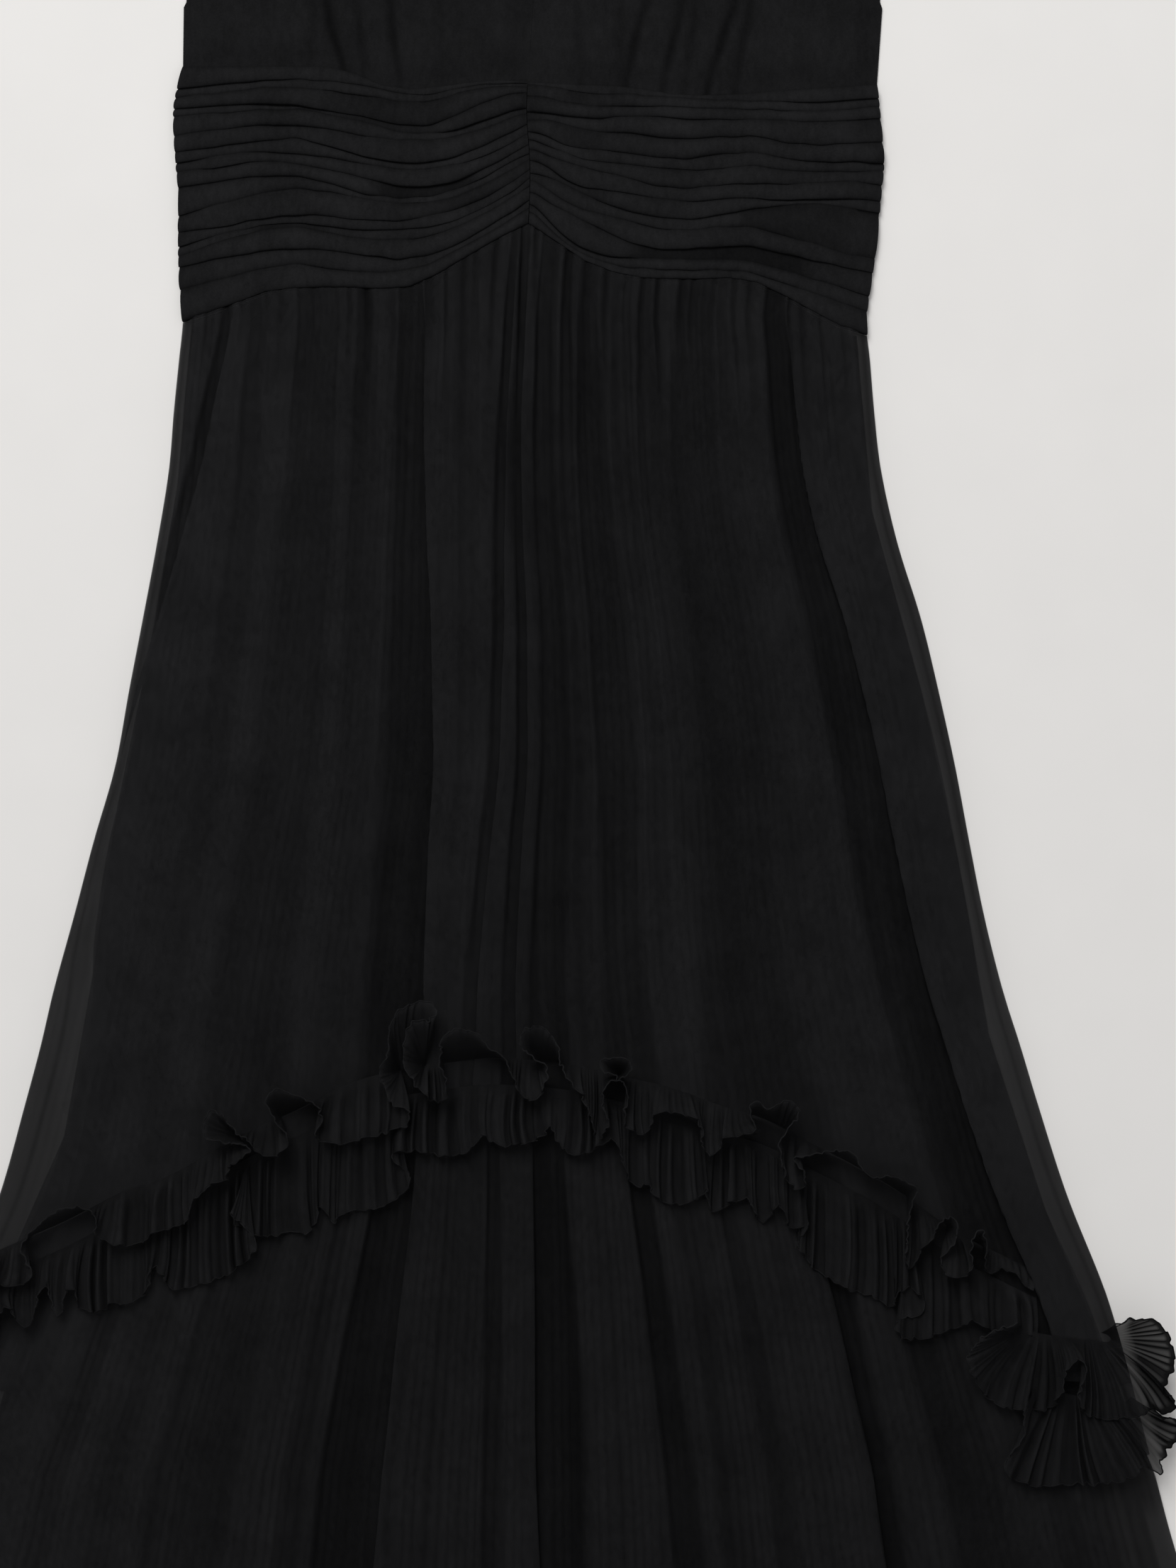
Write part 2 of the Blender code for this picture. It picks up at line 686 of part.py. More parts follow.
def make_under_skirt_front():
    outer, inner = [], []
    rows = [("hidden", v) for v in (0, 0.3, 0.65)] + [("shown", v) for v in UNDER_ROWS]
    for stretch, v in rows:
        row = []
        for column in fold_columns(UNDER_VALLEYS):
            down = v if stretch == "shown" else 0.0
            half = half_width(mix(over_hem(0), HEM, down))
            u, height = column(down, half)
            if stretch == "shown":
                y = mix(over_hem(u), hem(u), v)
            else:
                y = mix(skirt_top(u) - CHORD_SEAM, over_hem(u), v)
            x = across(u, y, under_inset(y))
            z = under_front_base(x, y, u) + height * under_fold_height(y, u)
            row.append((x, y, z))
        inner.append(row)
        outer.append([(x, y, z + WALL) for x, y, z in row])
    wall("under_skirt_front", outer, inner, BLACKS["under"])


# Frills on the front of the over-skirt's hem


def seam_path():
    """The upper frill's seam: points from edge to edge, the length to each, and their downward normals."""
    places = [(across(u, front_seam(u)), front_seam(u)) for u in spread(SEAM_PATH_STEPS + 1)]
    lengths = [0.0]
    normals = []
    for n, place in enumerate(places):
        low = places[max(n - NORMAL_REACH, 0)]
        high = places[min(n + NORMAL_REACH, SEAM_PATH_STEPS)]
        reach = math.dist(low, high)
        normals.append(((high[1] - low[1]) / reach, -(high[0] - low[0]) / reach))
        if n:
            lengths.append(lengths[-1] + math.dist(places[n - 1], place))
    return places, lengths, normals


def on_path(path, at):
    """The point and the downward normal at a length along the seam, which runs straight on past its ends."""
    places, lengths, normals = path
    last = len(lengths) - 1
    i = next((n for n in range(1, last) if at <= lengths[n]), last)
    share = (at - lengths[i - 1]) / (lengths[i] - lengths[i - 1])
    place = [mix(places[i - 1][k], places[i][k], share) for k in (0, 1)]
    share = min(max(share, 0), 1)
    normal = [mix(normals[i - 1][k], normals[i][k], share) for k in (0, 1)]
    return place, normal


def meander(bend, samples):
    """One wave of a ribbon: its way along the seam from 0 to 1, and its swing from 0 up to 1 and back."""
    fine = 240
    a, b = [0.0], [0.0]
    for n in range(fine):
        turn = bend * math.sin(2 * math.pi * (n + 0.5) / fine)
        a.append(a[-1] + math.cos(turn))
        b.append(b[-1] + math.sin(turn))
    peak = max(b)
    picked = [round(fine * n / samples) for n in range(samples)]
    return [(a[n] / a[-1], b[n] / peak) for n in picked]


def make_front_frill(name, which, start):
    """A gathered strip: straight at its seam and swinging to and fro in waves at its free edge.

    which is the wave table's column, and start is how far below the upper frill's seam this one is sewn.
    """
    path = seam_path()
    first, last = -FRILL_OVERRUN, path[1][-1] + FRILL_OVERRUN
    total = sum(wave.share for wave in WAVES)
    mid = []
    for t in FRILL_ROWS:
        row = []
        at = first
        for wave in WAVES:
            length = (last - first) * wave.share / total
            for way, swing in meander(max(WAVE_BEND * math.sqrt(t), WAVE_BEND_AT_SEAM), WAVE_POINTS):
                place, normal = on_path(path, at + way * length)
                angle = mix(WAVE_LOW, math.radians(getattr(wave, which)), swing)
                out = start + FRILL_DEPTH * t * math.cos(angle)
                up = FRILL_DEPTH * t * math.sin(angle) * WAVE_FLATTEN + FRILL_RISE * t
                x, y = (place[k] + normal[k] * out for k in (0, 1))
                root = max(over_front_base(*place), over_front_base(x, y)) + FRILL_ROOT
                row.append((x, y, root + up))
            at += length
        mid.append(row)
    outer, inner = thickened(mid, WALL)
    wall(name, outer, inner, BLACKS["frill"])


def thickened(mid, thickness):
    """Two grids, one on each side of a grid of points, along its normals, and raised by half the wall."""
    rows, columns = len(mid), len(mid[0])
    outer, inner = [], []
    for r in range(rows):
        outer.append([])
        inner.append([])
        for c in range(columns):
            left, right = mid[r][max(c - 1, 0)], mid[r][min(c + 1, columns - 1)]
            up, down = mid[max(r - 1, 0)][c], mid[min(r + 1, rows - 1)][c]
            normal = (Vector(right) - Vector(left)).cross(Vector(up) - Vector(down)).normalized()
            place = Vector(mid[r][c]) + Vector((0, 0, thickness / 2))
            outer[-1].append(tuple(place + normal * thickness / 2))
            inner[-1].append(tuple(place - normal * thickness / 2))
    return outer, inner


# Waistband and bodice, front


def band_front_low(x, y):
    """The band front's plain inside: down on the back at the side seams, and up on the skirts' seams below."""
    inward = min(x - across(-1, y), across(1, y) - x)
    u = 2 * (x - across(-1, y)) / (across(1, y) - across(-1, y)) - 1
    down = (band_top(u) - y) / (band_top(u) - band_bottom(u))
    return BAND_BACK_THICKNESS + SEAM + BAND_RISE * down * smooth(inward / BAND_EDGE_ROLL)


def make_band_front(name, side, pleats):
    """Half of the band. side is -1 for the left half and +1 for the right half."""
    stops = []
    for n, pleat in enumerate(pleats):
        before = pleats[n - 1] if n else Pleat(0, 0, 0)
        start = PLEAT_DROP_SHARE if n else 0
        stops.append((before, pleat, start, PLEAT_ROOT))
        stops.append((before, pleat, 1.0, 1.0))
    steps = SEAM_STEPS // 2
    columns = [side * max(i / steps, CENTRE_GAP_U) for i in range(steps + 1)]
    if side < 0:
        columns.reverse()
    outer = []
    for before, pleat, share, lift in stops:
        row = []
        for u in columns:
            out = abs(u)
            begin = mix(before.centre, before.side, out)
            end = mix(pleat.centre, pleat.side, out)
            down = mix(begin, end, share)
            y = mix(band_top(u), band_bottom(u), down)
            tooth = side * PLEAT_TOOTH * (lift - 0.6) * smooth((out - 0.95) / 0.05)
            x = across(u, y) + tooth
            low = band_front_low(across(u, y), y)
            row.append((x, y, low + BAND_WALL + pleat.height * lift))
        outer.append(row)
    plain_inside_wall(name, outer, band_front_low, BLACKS["band"])


def bust(x, y):
    """How far the laid-out bodice stands up over the bust ease."""
    away = math.hypot(abs(x) - BUST_X, y - BUST_Y) / BUST_REACH
    return BUST_PUFF * smooth(1 - away)


def gather_depth(gather, x, y):
    height = y - band_top(0)
    centre = gather.x + gather.lean * height / GATHER_LEAN_HEIGHT
    fade = 1 - smooth(height / (GATHER_END_Y - band_top(0)))
    return gather.depth * fade * math.exp(-(((x - centre) / GATHER_WIDTH) ** 2))


def bodice_columns(gathers):
    """Column places as shares of the half width: the band's own, and four to each gather."""
    steps = SEAM_STEPS // 2
    shares = [max(i / steps, CENTRE_GAP_U) for i in range(steps + 1)]
    for gather in gathers:
        for offset in (-1.5 * GATHER_WIDTH, -0.5 * GATHER_WIDTH, 0.5 * GATHER_WIDTH, 1.5 * GATHER_WIDTH):
            share = (abs(gather.x) + offset) / half_width(band_top(0))
            if all(abs(share - other) > CLOSEST_COLUMNS for other in shares):
                shares.append(share)
    return sorted(shares)


def make_bodice_front(name, side, gathers):
    """Half of the bodice's front, in sections from the shoulder down to the band."""
    shares = bodice_columns(gathers)
    if side < 0:
        shares.reverse()
    lowest = BODICE_SECTIONS[0]
    outer, inner = [], []
    for row_number in range(len(BODICE_SECTIONS) + 2):
        row = []
        for share in shares:
            u = side * share
            if row_number < len(BODICE_SECTIONS):
                section = BODICE_SECTIONS[-1 - row_number]
                x = side * mix(max(section.inner_x, SEAM / 2), section.outer_x, share)
                y = mix(section.inner_y, section.outer_y, share)
            else:
                up = BODICE_FOOT_ROW if row_number == len(BODICE_SECTIONS) else 0
                foot = band_top(u)
                y = mix(foot + SEAM, lowest.inner_y, up)
                x = mix(across(u, foot), side * mix(SEAM / 2, lowest.outer_x, share), up)
            seam_ease = smooth(share / 0.08) * smooth((1 - share) / 0.08)
            dent = sum(gather_depth(gather, x, y) for gather in gathers)
            ease = max(BODICE_EASE * seam_ease - dent, 0)
            row.append((x, y, LAYER + bust(x, y) * seam_ease + ease))
        inner.append(row)
        outer.append([(x, y, z + WALL) for x, y, z in row])
    wall(name, outer, inner, BLACKS["bodice"])


def build():
    for old in list(bpy.data.objects):
        bpy.data.objects.remove(old)
    make_bodice_back()
    make_band_back()
    make_over_skirt_back()
    make_back_frills()
    make_under_skirt_back()
    make_lining()
    make_under_skirt_front()
    make_over_skirt_front()
    make_front_frill("frill_lower_front", "lower", FRILL_SPACING)
    make_front_frill("frill_upper_front", "upper", 0)
    make_band_front("band_front_left", -1, LEFT_PLEATS)
    make_band_front("band_front_right", 1, RIGHT_PLEATS)
    make_bodice_front("bodice_front_left", -1, LEFT_GATHERS)
    make_bodice_front("bodice_front_right", 1, RIGHT_GATHERS)


build()
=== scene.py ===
"""Looks of a black pleated chiffon maxi dress, laid flat on a pale board and seen from straight above.

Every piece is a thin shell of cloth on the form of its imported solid, with the creases that the cloth shows.
Sizes are in millimetres up to the meshes, where MM turns them to metres. Across the dress, u runs from -1 at
the left edge to +1 at the right edge, seen from above. Down a panel, v runs from 0 at its top to 1 at its
foot.
"""

import math
from collections import namedtuple

import bpy
import numpy as np
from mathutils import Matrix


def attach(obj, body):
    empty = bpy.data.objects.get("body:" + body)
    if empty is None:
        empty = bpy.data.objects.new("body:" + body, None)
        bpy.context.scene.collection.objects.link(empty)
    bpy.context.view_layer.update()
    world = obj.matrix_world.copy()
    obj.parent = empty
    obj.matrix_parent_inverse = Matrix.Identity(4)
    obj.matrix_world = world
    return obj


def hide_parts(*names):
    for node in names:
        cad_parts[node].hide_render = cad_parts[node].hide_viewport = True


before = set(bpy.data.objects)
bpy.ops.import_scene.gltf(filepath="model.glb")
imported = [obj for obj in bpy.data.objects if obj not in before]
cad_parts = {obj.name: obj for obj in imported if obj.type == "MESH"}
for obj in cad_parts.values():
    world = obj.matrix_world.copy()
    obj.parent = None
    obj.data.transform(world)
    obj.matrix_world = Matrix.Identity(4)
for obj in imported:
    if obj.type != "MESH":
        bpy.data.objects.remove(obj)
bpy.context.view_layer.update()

bl_info = {
    "name": "Maxi dress laid flat",
    "version": (1, 0, 0),
    "blender": (4, 5, 0),
    "location": "View3D > Sidebar > Dress",
    "description": "Builds a black pleated chiffon maxi dress on a pale board",
    "category": "Object",
}

MM = 0.001

# The dress's outline: height, left edge, right edge
OUTLINE = np.array([
    (-705, -460, 460), (-520, -402, 402), (-340, -345, 345), (-212, -310, 311), (-150, -287, 287),
    (-100, -273, 271), (-70, -265, 262), (-40, -258, 252.5), (0, -247, 242.5), (40, -236.5, 234.5),
    (80, -225, 227), (121, -217.5, 218), (160, -210, 208.5), (200, -202.5, 196), (240, -196, 187),
    (270, -193.5, 183.5), (300, -190.5, 181), (320, -188.5, 179), (340, -190, 181.5),
    (361, -190.5, 184.5), (390, -190.5, 187), (404, -191.8, 188.3), (433, -193, 186),
    (456, -188.5, 183.5),
])
# The waistband's long edges: u, top, bottom
BAND_EDGES = np.array([
    (-1.00, 456, 319), (-0.86, 456, 327), (-0.74, 456, 335), (-0.55, 455, 337), (-0.39, 445, 336),
    (-0.30, 444, 339), (-0.20, 447, 350), (-0.10, 449, 361), (0.00, 448, 371), (0.10, 447, 359),
    (0.18, 446, 350), (0.30, 445, 343), (0.45, 441, 341), (0.64, 442, 341), (0.81, 444, 327),
    (0.90, 445, 318), (1.00, 446, 312),
])
SEAM_STEPS = 24  # straight steps of the solids' long band edges

# The lower edge of each crosswise pleat of the band's front, from the top one down: its height at stations
# across each half, given as x. The lowest pleat ends at the band's own edge.
LEFT_STATIONS = [-190, -165, -145, -125, -108, -90, -72, -55, -40, -25, -10, 0]
LEFT_PLEATS = [
    (444, 446.5, 448.5, 449, 448, 446, 442, 441, 444.5, 446.5, 447, 447),
    (439.5, 442, 444, 444, 443, 440.5, 437.5, 437, 441, 444, 445.5, 445),
    (433, 435, 436, 435, 432.5, 429.5, 425, 424, 429, 436, 442, 442),
    (429, 431, 432.5, 432.5, 430, 426, 420.5, 419.5, 422, 427, 432, 434),
    (419, 422, 424, 424.5, 422.5, 418.5, 416, 416, 418, 422, 428, 431),
    (410, 413, 416, 417.5, 413, 407.5, 404, 404, 407.5, 413.5, 421, 426),
    (404.5, 408, 410, 409, 406.5, 403, 400, 400, 403, 408, 415, 421),
    (399, 402, 405, 403.5, 400, 395.5, 391, 391, 394.5, 401.5, 409.5, 415),
    (391, 394.5, 397, 396.5, 392.5, 387, 385, 386, 390, 397, 405.5, 410),
    (376, 382.5, 387.5, 390, 388, 384, 381.5, 382.5, 386, 393, 401, 406.5),
    (366.5, 370, 374, 376, 375, 373, 372.5, 375, 379, 385, 394, 402),
    (359, 366, 370.5, 372, 369.5, 367.5, 368, 369, 373, 380, 389, 397.5),
    (354, 362, 367, 369, 365.5, 362.5, 362, 364, 369.5, 376.5, 386, 392.5),
    (348, 353, 356.5, 357.5, 357, 354.5, 352, 353.5, 360, 368, 378, 385.5),
    (336, 341, 346.5, 349, 347, 344.5, 344.8, 348.5, 356.5, 364.5, 373.5, 380.5),
]
RIGHT_STATIONS = [0, 8, 16, 26, 38, 52, 68, 84, 100, 118, 136, 154, 172, 190]
RIGHT_PLEATS = [
    (446, 445.5, 444, 442, 441, 441, 440, 438.5, 438, 437.5, 437, 437, 438, 439.5),
    (440, 439, 437.5, 435, 434.5, 434.5, 434.5, 434, 433.5, 433, 432.5, 432, 433, 434.5),
    (431.5, 431, 430, 428.5, 428, 429, 429, 427.5, 427.5, 427.5, 426.5, 426, 427, 428.5),
    (427, 426.8, 425.3, 422, 420.5, 420, 417.5, 416.7, 418, 418.7, 414.5, 413.5, 414.5, 415.5),
    (421, 419, 414, 411.5, 410.7, 409, 406.5, 406.3, 409, 409.2, 405.8, 404.3, 405, 403.5),
    (416.5, 413.5, 410, 406, 404, 403, 401, 400, 401, 402.5, 399.7, 399.2, 399.2, 400),
    (411.5, 408, 404.5, 401.5, 398.7, 395, 391, 390, 392, 393, 392, 393, 393.8, 391.5),
    (405, 402, 395.5, 391, 389, 387.5, 384.5, 383, 384.3, 385.2, 383.5, 384.5, 385, 383),
    (398.5, 396, 392.7, 387.5, 382, 377.5, 374.5, 373.3, 376, 379, 381.5, 381.7, 379.5, 377),
    (394, 389.5, 383.5, 379, 375.3, 372.5, 368.5, 367.3, 369, 369.5, 364.5, 359.5, 354.5, 352),
    (388, 383, 378, 373.5, 367.5, 361.5, 357.6, 357, 358.8, 359.2, 355.3, 351, 347.5, 345),
    (381.5, 374, 365.5, 358.5, 354.3, 352.5, 352, 351, 351.3, 351, 346.5, 341.5, 336.5, 332),
    (376.5, 369.5, 362.5, 355.5, 351, 347, 346.5, 345.8, 346, 345.5, 340, 334, 328.5, 323),
]
# Pleats that fall in, lower and with painted shade: pleat, from, to, depth
LEFT_GAPS = [
    (8, -84, -34, 0.9), (12, -148, -112, 0.8), (3, -100, -48, 0.5), (2, -108, -40, 0.4), (10, -60, -8, 0.4),
]
RIGHT_GAPS = [
    (11, 56, 150, 1.0), (9, 112, 170, 0.6), (1, 18, 32, 0.6), (8, 14, 40, 0.4), (4, 12, 40, 0.4),
]
GAP_EASE = 14  # over which a gap opens and closes along the pleat
BAND_PLEAT_SHARE = 0.26  # height of a pleat's edge, per millimetre of its depth
BAND_LEVEL = 385  # the height at which a place along the pleats is measured
PLEAT_LEAST = 0.8  # depth of the shallowest pleat
LAST_PLEAT = 0.8  # how much higher the lowest pleat stands
BAND_FILL = 3.6  # how much the layers under the band raise its lower edge
PLEAT_FOOT = 1.1  # height of a pleat's root over what it lies on
PLEAT_LOWEST, PLEAT_HIGHEST = 0.7, 2.1  # bounds of the pleats' own height
BAND_BACK_PLEATS = 19

# A valley between two folds: its place in u, its floor's width and its depth as a share of the fold height,
# each at the band and at the hem, and the width of each flank. A lap is how far the cloth beside it folds
# over it.
Valley = namedtuple(
    "Valley", "top hem width_top width_hem deep_top deep_hem left_flank right_flank left_lap right_lap"
)
OVER_VALLEYS = [
    Valley(-0.860, -1.200, 3, 9, 0.80, 0.80, 6, 4, 0, 1.2),
    Valley(-0.780, -0.738, 4, 6, 0.60, 0.05, 7, 8, 0, 0),
    Valley(-0.600, -0.560, 11, 34, 0.55, 0.55, 12, 11, 0, 0),
    Valley(-0.459, -0.388, 4, 10, 0.50, 0.20, 9, 9, 0, 0),
    Valley(-0.316, -0.256, 8, 26, 0.85, 1.00, 14, 3, 0, 2.8),
    Valley(-0.150, -0.170, 2, 4, 0.35, 0.05, 6, 6, 0, 0),
    Valley(-0.034, -0.130, 2, 4, 0.70, 0.55, 4, 4, 0, 1.4),
    Valley(-0.003, -0.040, 2, 4, 0.70, 0.65, 3, 5, 0, 1.4),
    Valley(0.058, 0.038, 3, 15, 0.70, 0.90, 4, 6, 0, 0),
    Valley(0.122, 0.112, 2, 3, 0.55, 0.15, 5, 5, 0, 0),
    Valley(0.183, 0.208, 6, 18, 0.65, 0.70, 6, 8, 0, 0),
    Valley(0.272, 0.310, 3, 4, 0.50, 0.05, 6, 6, 0, 0),
    Valley(0.350, 0.370, 3, 6, 0.55, 0.05, 7, 7, 0, 0),
    Valley(0.490, 0.450, 9, 46, 0.65, 0.65, 11, 14, 0, 0),
    Valley(0.575, 0.620, 2, 6, 0.35, 0.10, 7, 7, 0, 0),
    Valley(0.732, 0.840, 7, 29, 0.90, 1.00, 9, 3, 0, 4.0),
]
UNDER_VALLEYS = [
    Valley(-0.88, -0.88, 5, 9, 0.15, 0.25, 9, 9, 0, 0),
    Valley(-0.77, -0.77, 5, 9, 0.35, 0.35, 9, 9, 0, 0),
    Valley(-0.67, -0.67, 5, 8, 0.20, 0.30, 9, 9, 0, 0),
    Valley(-0.54, -0.56, 26, 44, 0.45, 0.45, 12, 12, 0, 0),
    Valley(-0.38, -0.38, 4, 9, 0.45, 0.45, 7, 7, 0, 0),
    Valley(-0.286, -0.296, 19, 48, 1.00, 1.00, 6, 8, 0, 2.5),
    Valley(-0.16, -0.155, 3, 7, 0.35, 0.45, 8, 8, 0, 0),
    Valley(-0.085, -0.03, 3, 8, 0.65, 0.65, 5, 5, 0, 0),
    Valley(0.028, 0.062, 13, 32, 1.00, 1.00, 5, 8, 1.6, 0),
    Valley(0.13, 0.16, 3, 6, 0.15, 0.25, 7, 7, 0, 0),
    Valley(0.205, 0.30, 6, 18, 1.00, 0.90, 5, 8, 0, 0),
    Valley(0.285, 0.385, 3, 8, 0.40, 0.50, 8, 8, 0, 0),
    Valley(0.375, 0.435, 4, 8, 0.55, 0.40, 7, 7, 0, 0),
    Valley(0.556, 0.548, 6, 10, 1.00, 1.00, 3, 9, 2.5, 0),
    Valley(0.695, 0.735, 18, 42, 0.65, 0.40, 9, 12, 0, 0),
    Valley(0.830, 0.850, 5, 14, 0.30, 0.30, 9, 9, 0, 0),
    Valley(0.92, 0.92, 5, 9, 0.20, 0.30, 8, 8, 0, 0),
]
FLANK_AT_BAND = 0.45  # a flank's width there, as a share of its full width
FLANK_GROWTH = 0.4  # the v at which it has its full width
VALLEY_STRAY = 0.8  # how far a valley wanders from its straight line
FOLD_CROWN = 1.12  # height of a fold's middle over its sides
BAND_PRESS = 0.35  # share of a fold's height that is left where the band holds it
HEM_PRESS = 0.55  # the same, where the frills lie on it
PANEL_PRESS = 1.2  # the same, at the foot of the right fold, which lies over the frills
BAND_GATHERS = 38  # number of creases that the gathers leave under the band
GATHER_DEPTH = 1.5

# Painted shade and light: the attribute fold on lit cloth, in the two skirts' valleys and in a frill's loops
LIT_SHADE = 0.74
OVER_SHADE = 0.18
UNDER_SHADE = 0.15
FRILL_SHADE = 0.26
SHEER_SHADE = 0.85  # painted light in the margins, where only two layers lie on the board and its light comes through
UNDER_DIMMER = 0.24  # painted shade: how much darker lit cloth is painted on the under-skirt, lower down where less light falls
VALLEY_SHADE_SHARE = 0.15  # painted shade: the chiffon's tone where fold is 0, against its tone where fold is 1
GRAIN_AND_CRUSH_SHADE, BODICE_GRAIN_AND_CRUSH_SHADE = 0.26, 0.24  # how far yarns, uneven dye and the painted shade of crush creases change the tone, as a share of it

# Heights of the layers, and the lengths over which they step down onto each other, as in the solids
WALL = 1.0
SEAM = 0.3
LAYER = WALL + SEAM
LINING_LOW = 2 * LAYER
LINING_THICKNESS = 1.6
UNDER_FRONT_LOW = LINING_LOW + LINING_THICKNESS + SEAM
OVER_FRONT_LOW = UNDER_FRONT_LOW + LAYER
OVER_FOLD = 4.0
UNDER_FOLD = 3.4
FOLD_GROWTH = 46  # from the over-skirt's hem to where the under-skirt's folds are at full height
EDGE_ROLL = 9  # how far in from its edge a skirt has come up onto the layers inside it
UNDER_SHOWS_BELOW, UNDER_SHOWS_OVER = -300, 50
# How far the under-skirt stays inside the over-skirt's edges: height, left, right. Beside it the over-skirt's
# margins are sheer.
UNDER_INSET = np.array([
    (-300, 0, 0), (-250, 10, 8), (-150, 24, 15), (-60, 25, 15), (-10, 14, 9), (50, 8, 8), (110, 7, 9),
    (170, 7, 11), (230, 6, 9), (330, 5, 5),
])
RIM_TOP, RIM_WIDTH = -312, 13  # below this height the under-skirt has sheer margins of this width
SHEER_FADE = 2.5  # over which cloth turns sheer beside a margin
STEP_CLEARANCE = 3
STEP_LENGTH = 26
LINING_STEP_TOP, LINING_STEP_FOOT = -607, -652  # the under-skirt's front comes down past the lining's hem
LINING_HEM = -560
LINING_INSET_TOP, LINING_INSET_HEM = 30, 38
HEM = -735
HEM_LIFT = 30
CLOTH_ON_BACK = 0.7  # the front's cloth at a side seam

# The upper frill's seam across the front: x, height. The fold at the right lies over the seam's end and
# carries a run of frill of its own, lower down.
MAIN_SEAM = np.array([
    (-301, -186), (-280, -176), (-250, -163), (-219, -147), (-200, -141), (-180, -131), (-150, -114),
    (-125, -103), (-100, -90), (-75, -83), (-50, -79), (-25, -76), (0, -77), (25, -80), (50, -86),
    (75, -92), (100, -101), (125, -109), (150, -122), (175, -135), (200, -150), (225, -168), (250, -181),
    (268, -190),
])
PANEL_SEAM = np.array([(255, -223), (270, -226), (290, -229), (317, -232)])
PANEL_EDGE = 0.838  # the fold's left edge at the hem, in u
FRILL_DEPTH = 38
FRILL_SPACING = 20  # from the upper frill's seam to the over-skirt's hem and to the back's lower frill
FRONT_DROP = 14  # from the upper frill's seam to the lower one's, on the front
BACK_SEAM_DROP = 42  # the back's seam, in the middle, below the line between its ends
BACK_SCALLOP, BACK_SCALLOPS = 2.2, 16  # depth and number of the waves in the back's lower free edge
WAVE_FLATTEN = 0.30  # a frill on a laid-out dress collapses to this share of its standing height
FRILL_RISE = 4.0  # of a strip that hangs, over its seam
FRILL_SEAT = 0.4
FRILL_ROOT = OVER_FOLD * HEM_PRESS * FOLD_CROWN + WALL + FRILL_SEAT
FRILL_STEP = 0.5  # between points along a free edge
FRILL_EVEN = 60  # points on each side over which the way along the seam is evened out
FRILL_TURN = 14  # points on each side over which the free edge's heading is evened out
FRILL_FOLD = 12.0  # pitch of its broad folds at the free edge
FRILL_FOLD_DEPTH = 2.4
FRILL_CRUMPLE = 1.0  # how far the free edge strays on its way
FRILL_PLEAT = 4.4  # pitch of its pleats there
FRILL_PLEAT_DEPTH = 1.1
ROLL_RADIUS = 0.38  # of the rolled edge
PANEL_LIFT = 3.3  # of the right fold's own run above the others
# Where the hem's run of frill goes under the right fold's: x, the way over which it is pressed down, how far
# it is, and how much painted light lightens it
UNDER_PANEL_X, UNDER_PANEL_EASE = 238, 12
UNDER_PANEL_DROP = 2.2
UNDER_PANEL_LIGHT = 0.2

# The free edges of the front frills in plan, from left to right: fans that hang down and loops that stand up
# and flip over the seam
UPPER_EDGE = [
    (-322, -205), (-312, -217), (-301, -220), (-293, -214), (-291, -203), (-288, -191), (-284, -184),
    (-285, -190), (-282, -195), (-275, -196), (-268, -194), (-266, -188), (-269, -181), (-271, -175),
    (-267, -169), (-263, -164), (-259, -160), (-254, -157), (-246, -154), (-240, -153), (-234, -156),
    (-231, -162), (-231, -168), (-227, -172), (-221, -174), (-213, -174.5), (-208, -173), (-205, -170),
    (-200, -167), (-193, -165.5), (-186, -164), (-183, -160), (-181, -153), (-177, -147), (-171, -142),
    (-164, -140), (-161, -135), (-158, -130), (-153, -127), (-150, -123), (-153, -120), (-160, -119),
    (-167, -118.5), (-173, -116), (-174, -109), (-171, -103), (-166, -104), (-162, -109), (-157, -113),
    (-152, -118), (-147, -123), (-141, -126), (-134, -125.5), (-130, -121), (-131, -114), (-136, -108),
    (-140, -101), (-140, -94), (-134, -91), (-127, -94), (-119, -97), (-113, -102), (-112, -108),
    (-115, -114), (-113, -119), (-106, -120.5), (-97, -119.5), (-88, -117.5), (-80, -115), (-73, -113),
    (-66, -110), (-65, -104), (-70, -101), (-76, -98), (-78, -91), (-81, -84), (-79, -77), (-76, -69),
    (-76, -60), (-73, -53), (-67, -47), (-60, -45), (-53, -47), (-51, -52), (-56, -55), (-62, -55),
    (-67, -59), (-68, -66), (-69, -72), (-67, -79), (-63, -87), (-58, -94), (-52, -98), (-46, -97),
    (-45, -90), (-48, -82), (-49, -74), (-48, -66), (-44, -60.5), (-37, -59), (-30, -61.5), (-25, -67),
    (-18, -72), (-13, -78), (-10, -86), (-6, -94), (-1, -98), (4, -93), (8, -84), (5, -77), (-1, -73),
    (-6, -68), (-6, -61), (0, -58), (7, -60), (13, -66), (14, -75), (17, -84), (22, -89), (27, -96),
    (31, -108), (35, -118), (39, -116), (40, -107), (37, -98), (38, -91), (44, -86), (51, -83), (51, -76),
    (44, -73.5), (37, -76), (38, -81), (46, -86), (50, -94), (49, -103), (50, -110), (54, -115),
    (60, -115), (63, -109), (64, -104), (71, -103.5), (80, -104), (87, -107), (90, -113), (90, -121),
    (94, -127), (99, -124), (101, -118), (108, -116), (115, -115), (118, -110), (115, -103), (118, -98),
    (125, -101), (131, -98.5), (137, -98), (141, -102), (139, -108), (134, -113), (131, -121),
    (132, -131), (135, -140), (140, -144), (145, -141), (143, -134), (138, -129), (144, -126.5),
    (153, -125.5), (161, -123), (168, -124), (172, -129), (176, -135), (182, -138), (190, -137),
    (197, -139.5), (203, -143), (202, -150), (199, -160), (198, -172), (198, -183), (202, -186),
    (205, -178), (210, -172), (214, -165), (219, -159), (224, -161), (225, -168), (220, -176),
    (216, -182), (219, -189), (226, -191.5), (232, -188), (232, -178), (233, -170), (238, -166),
    (240, -175), (240, -185), (244, -191), (249, -188), (256, -190), (262, -196), (268, -200),
]
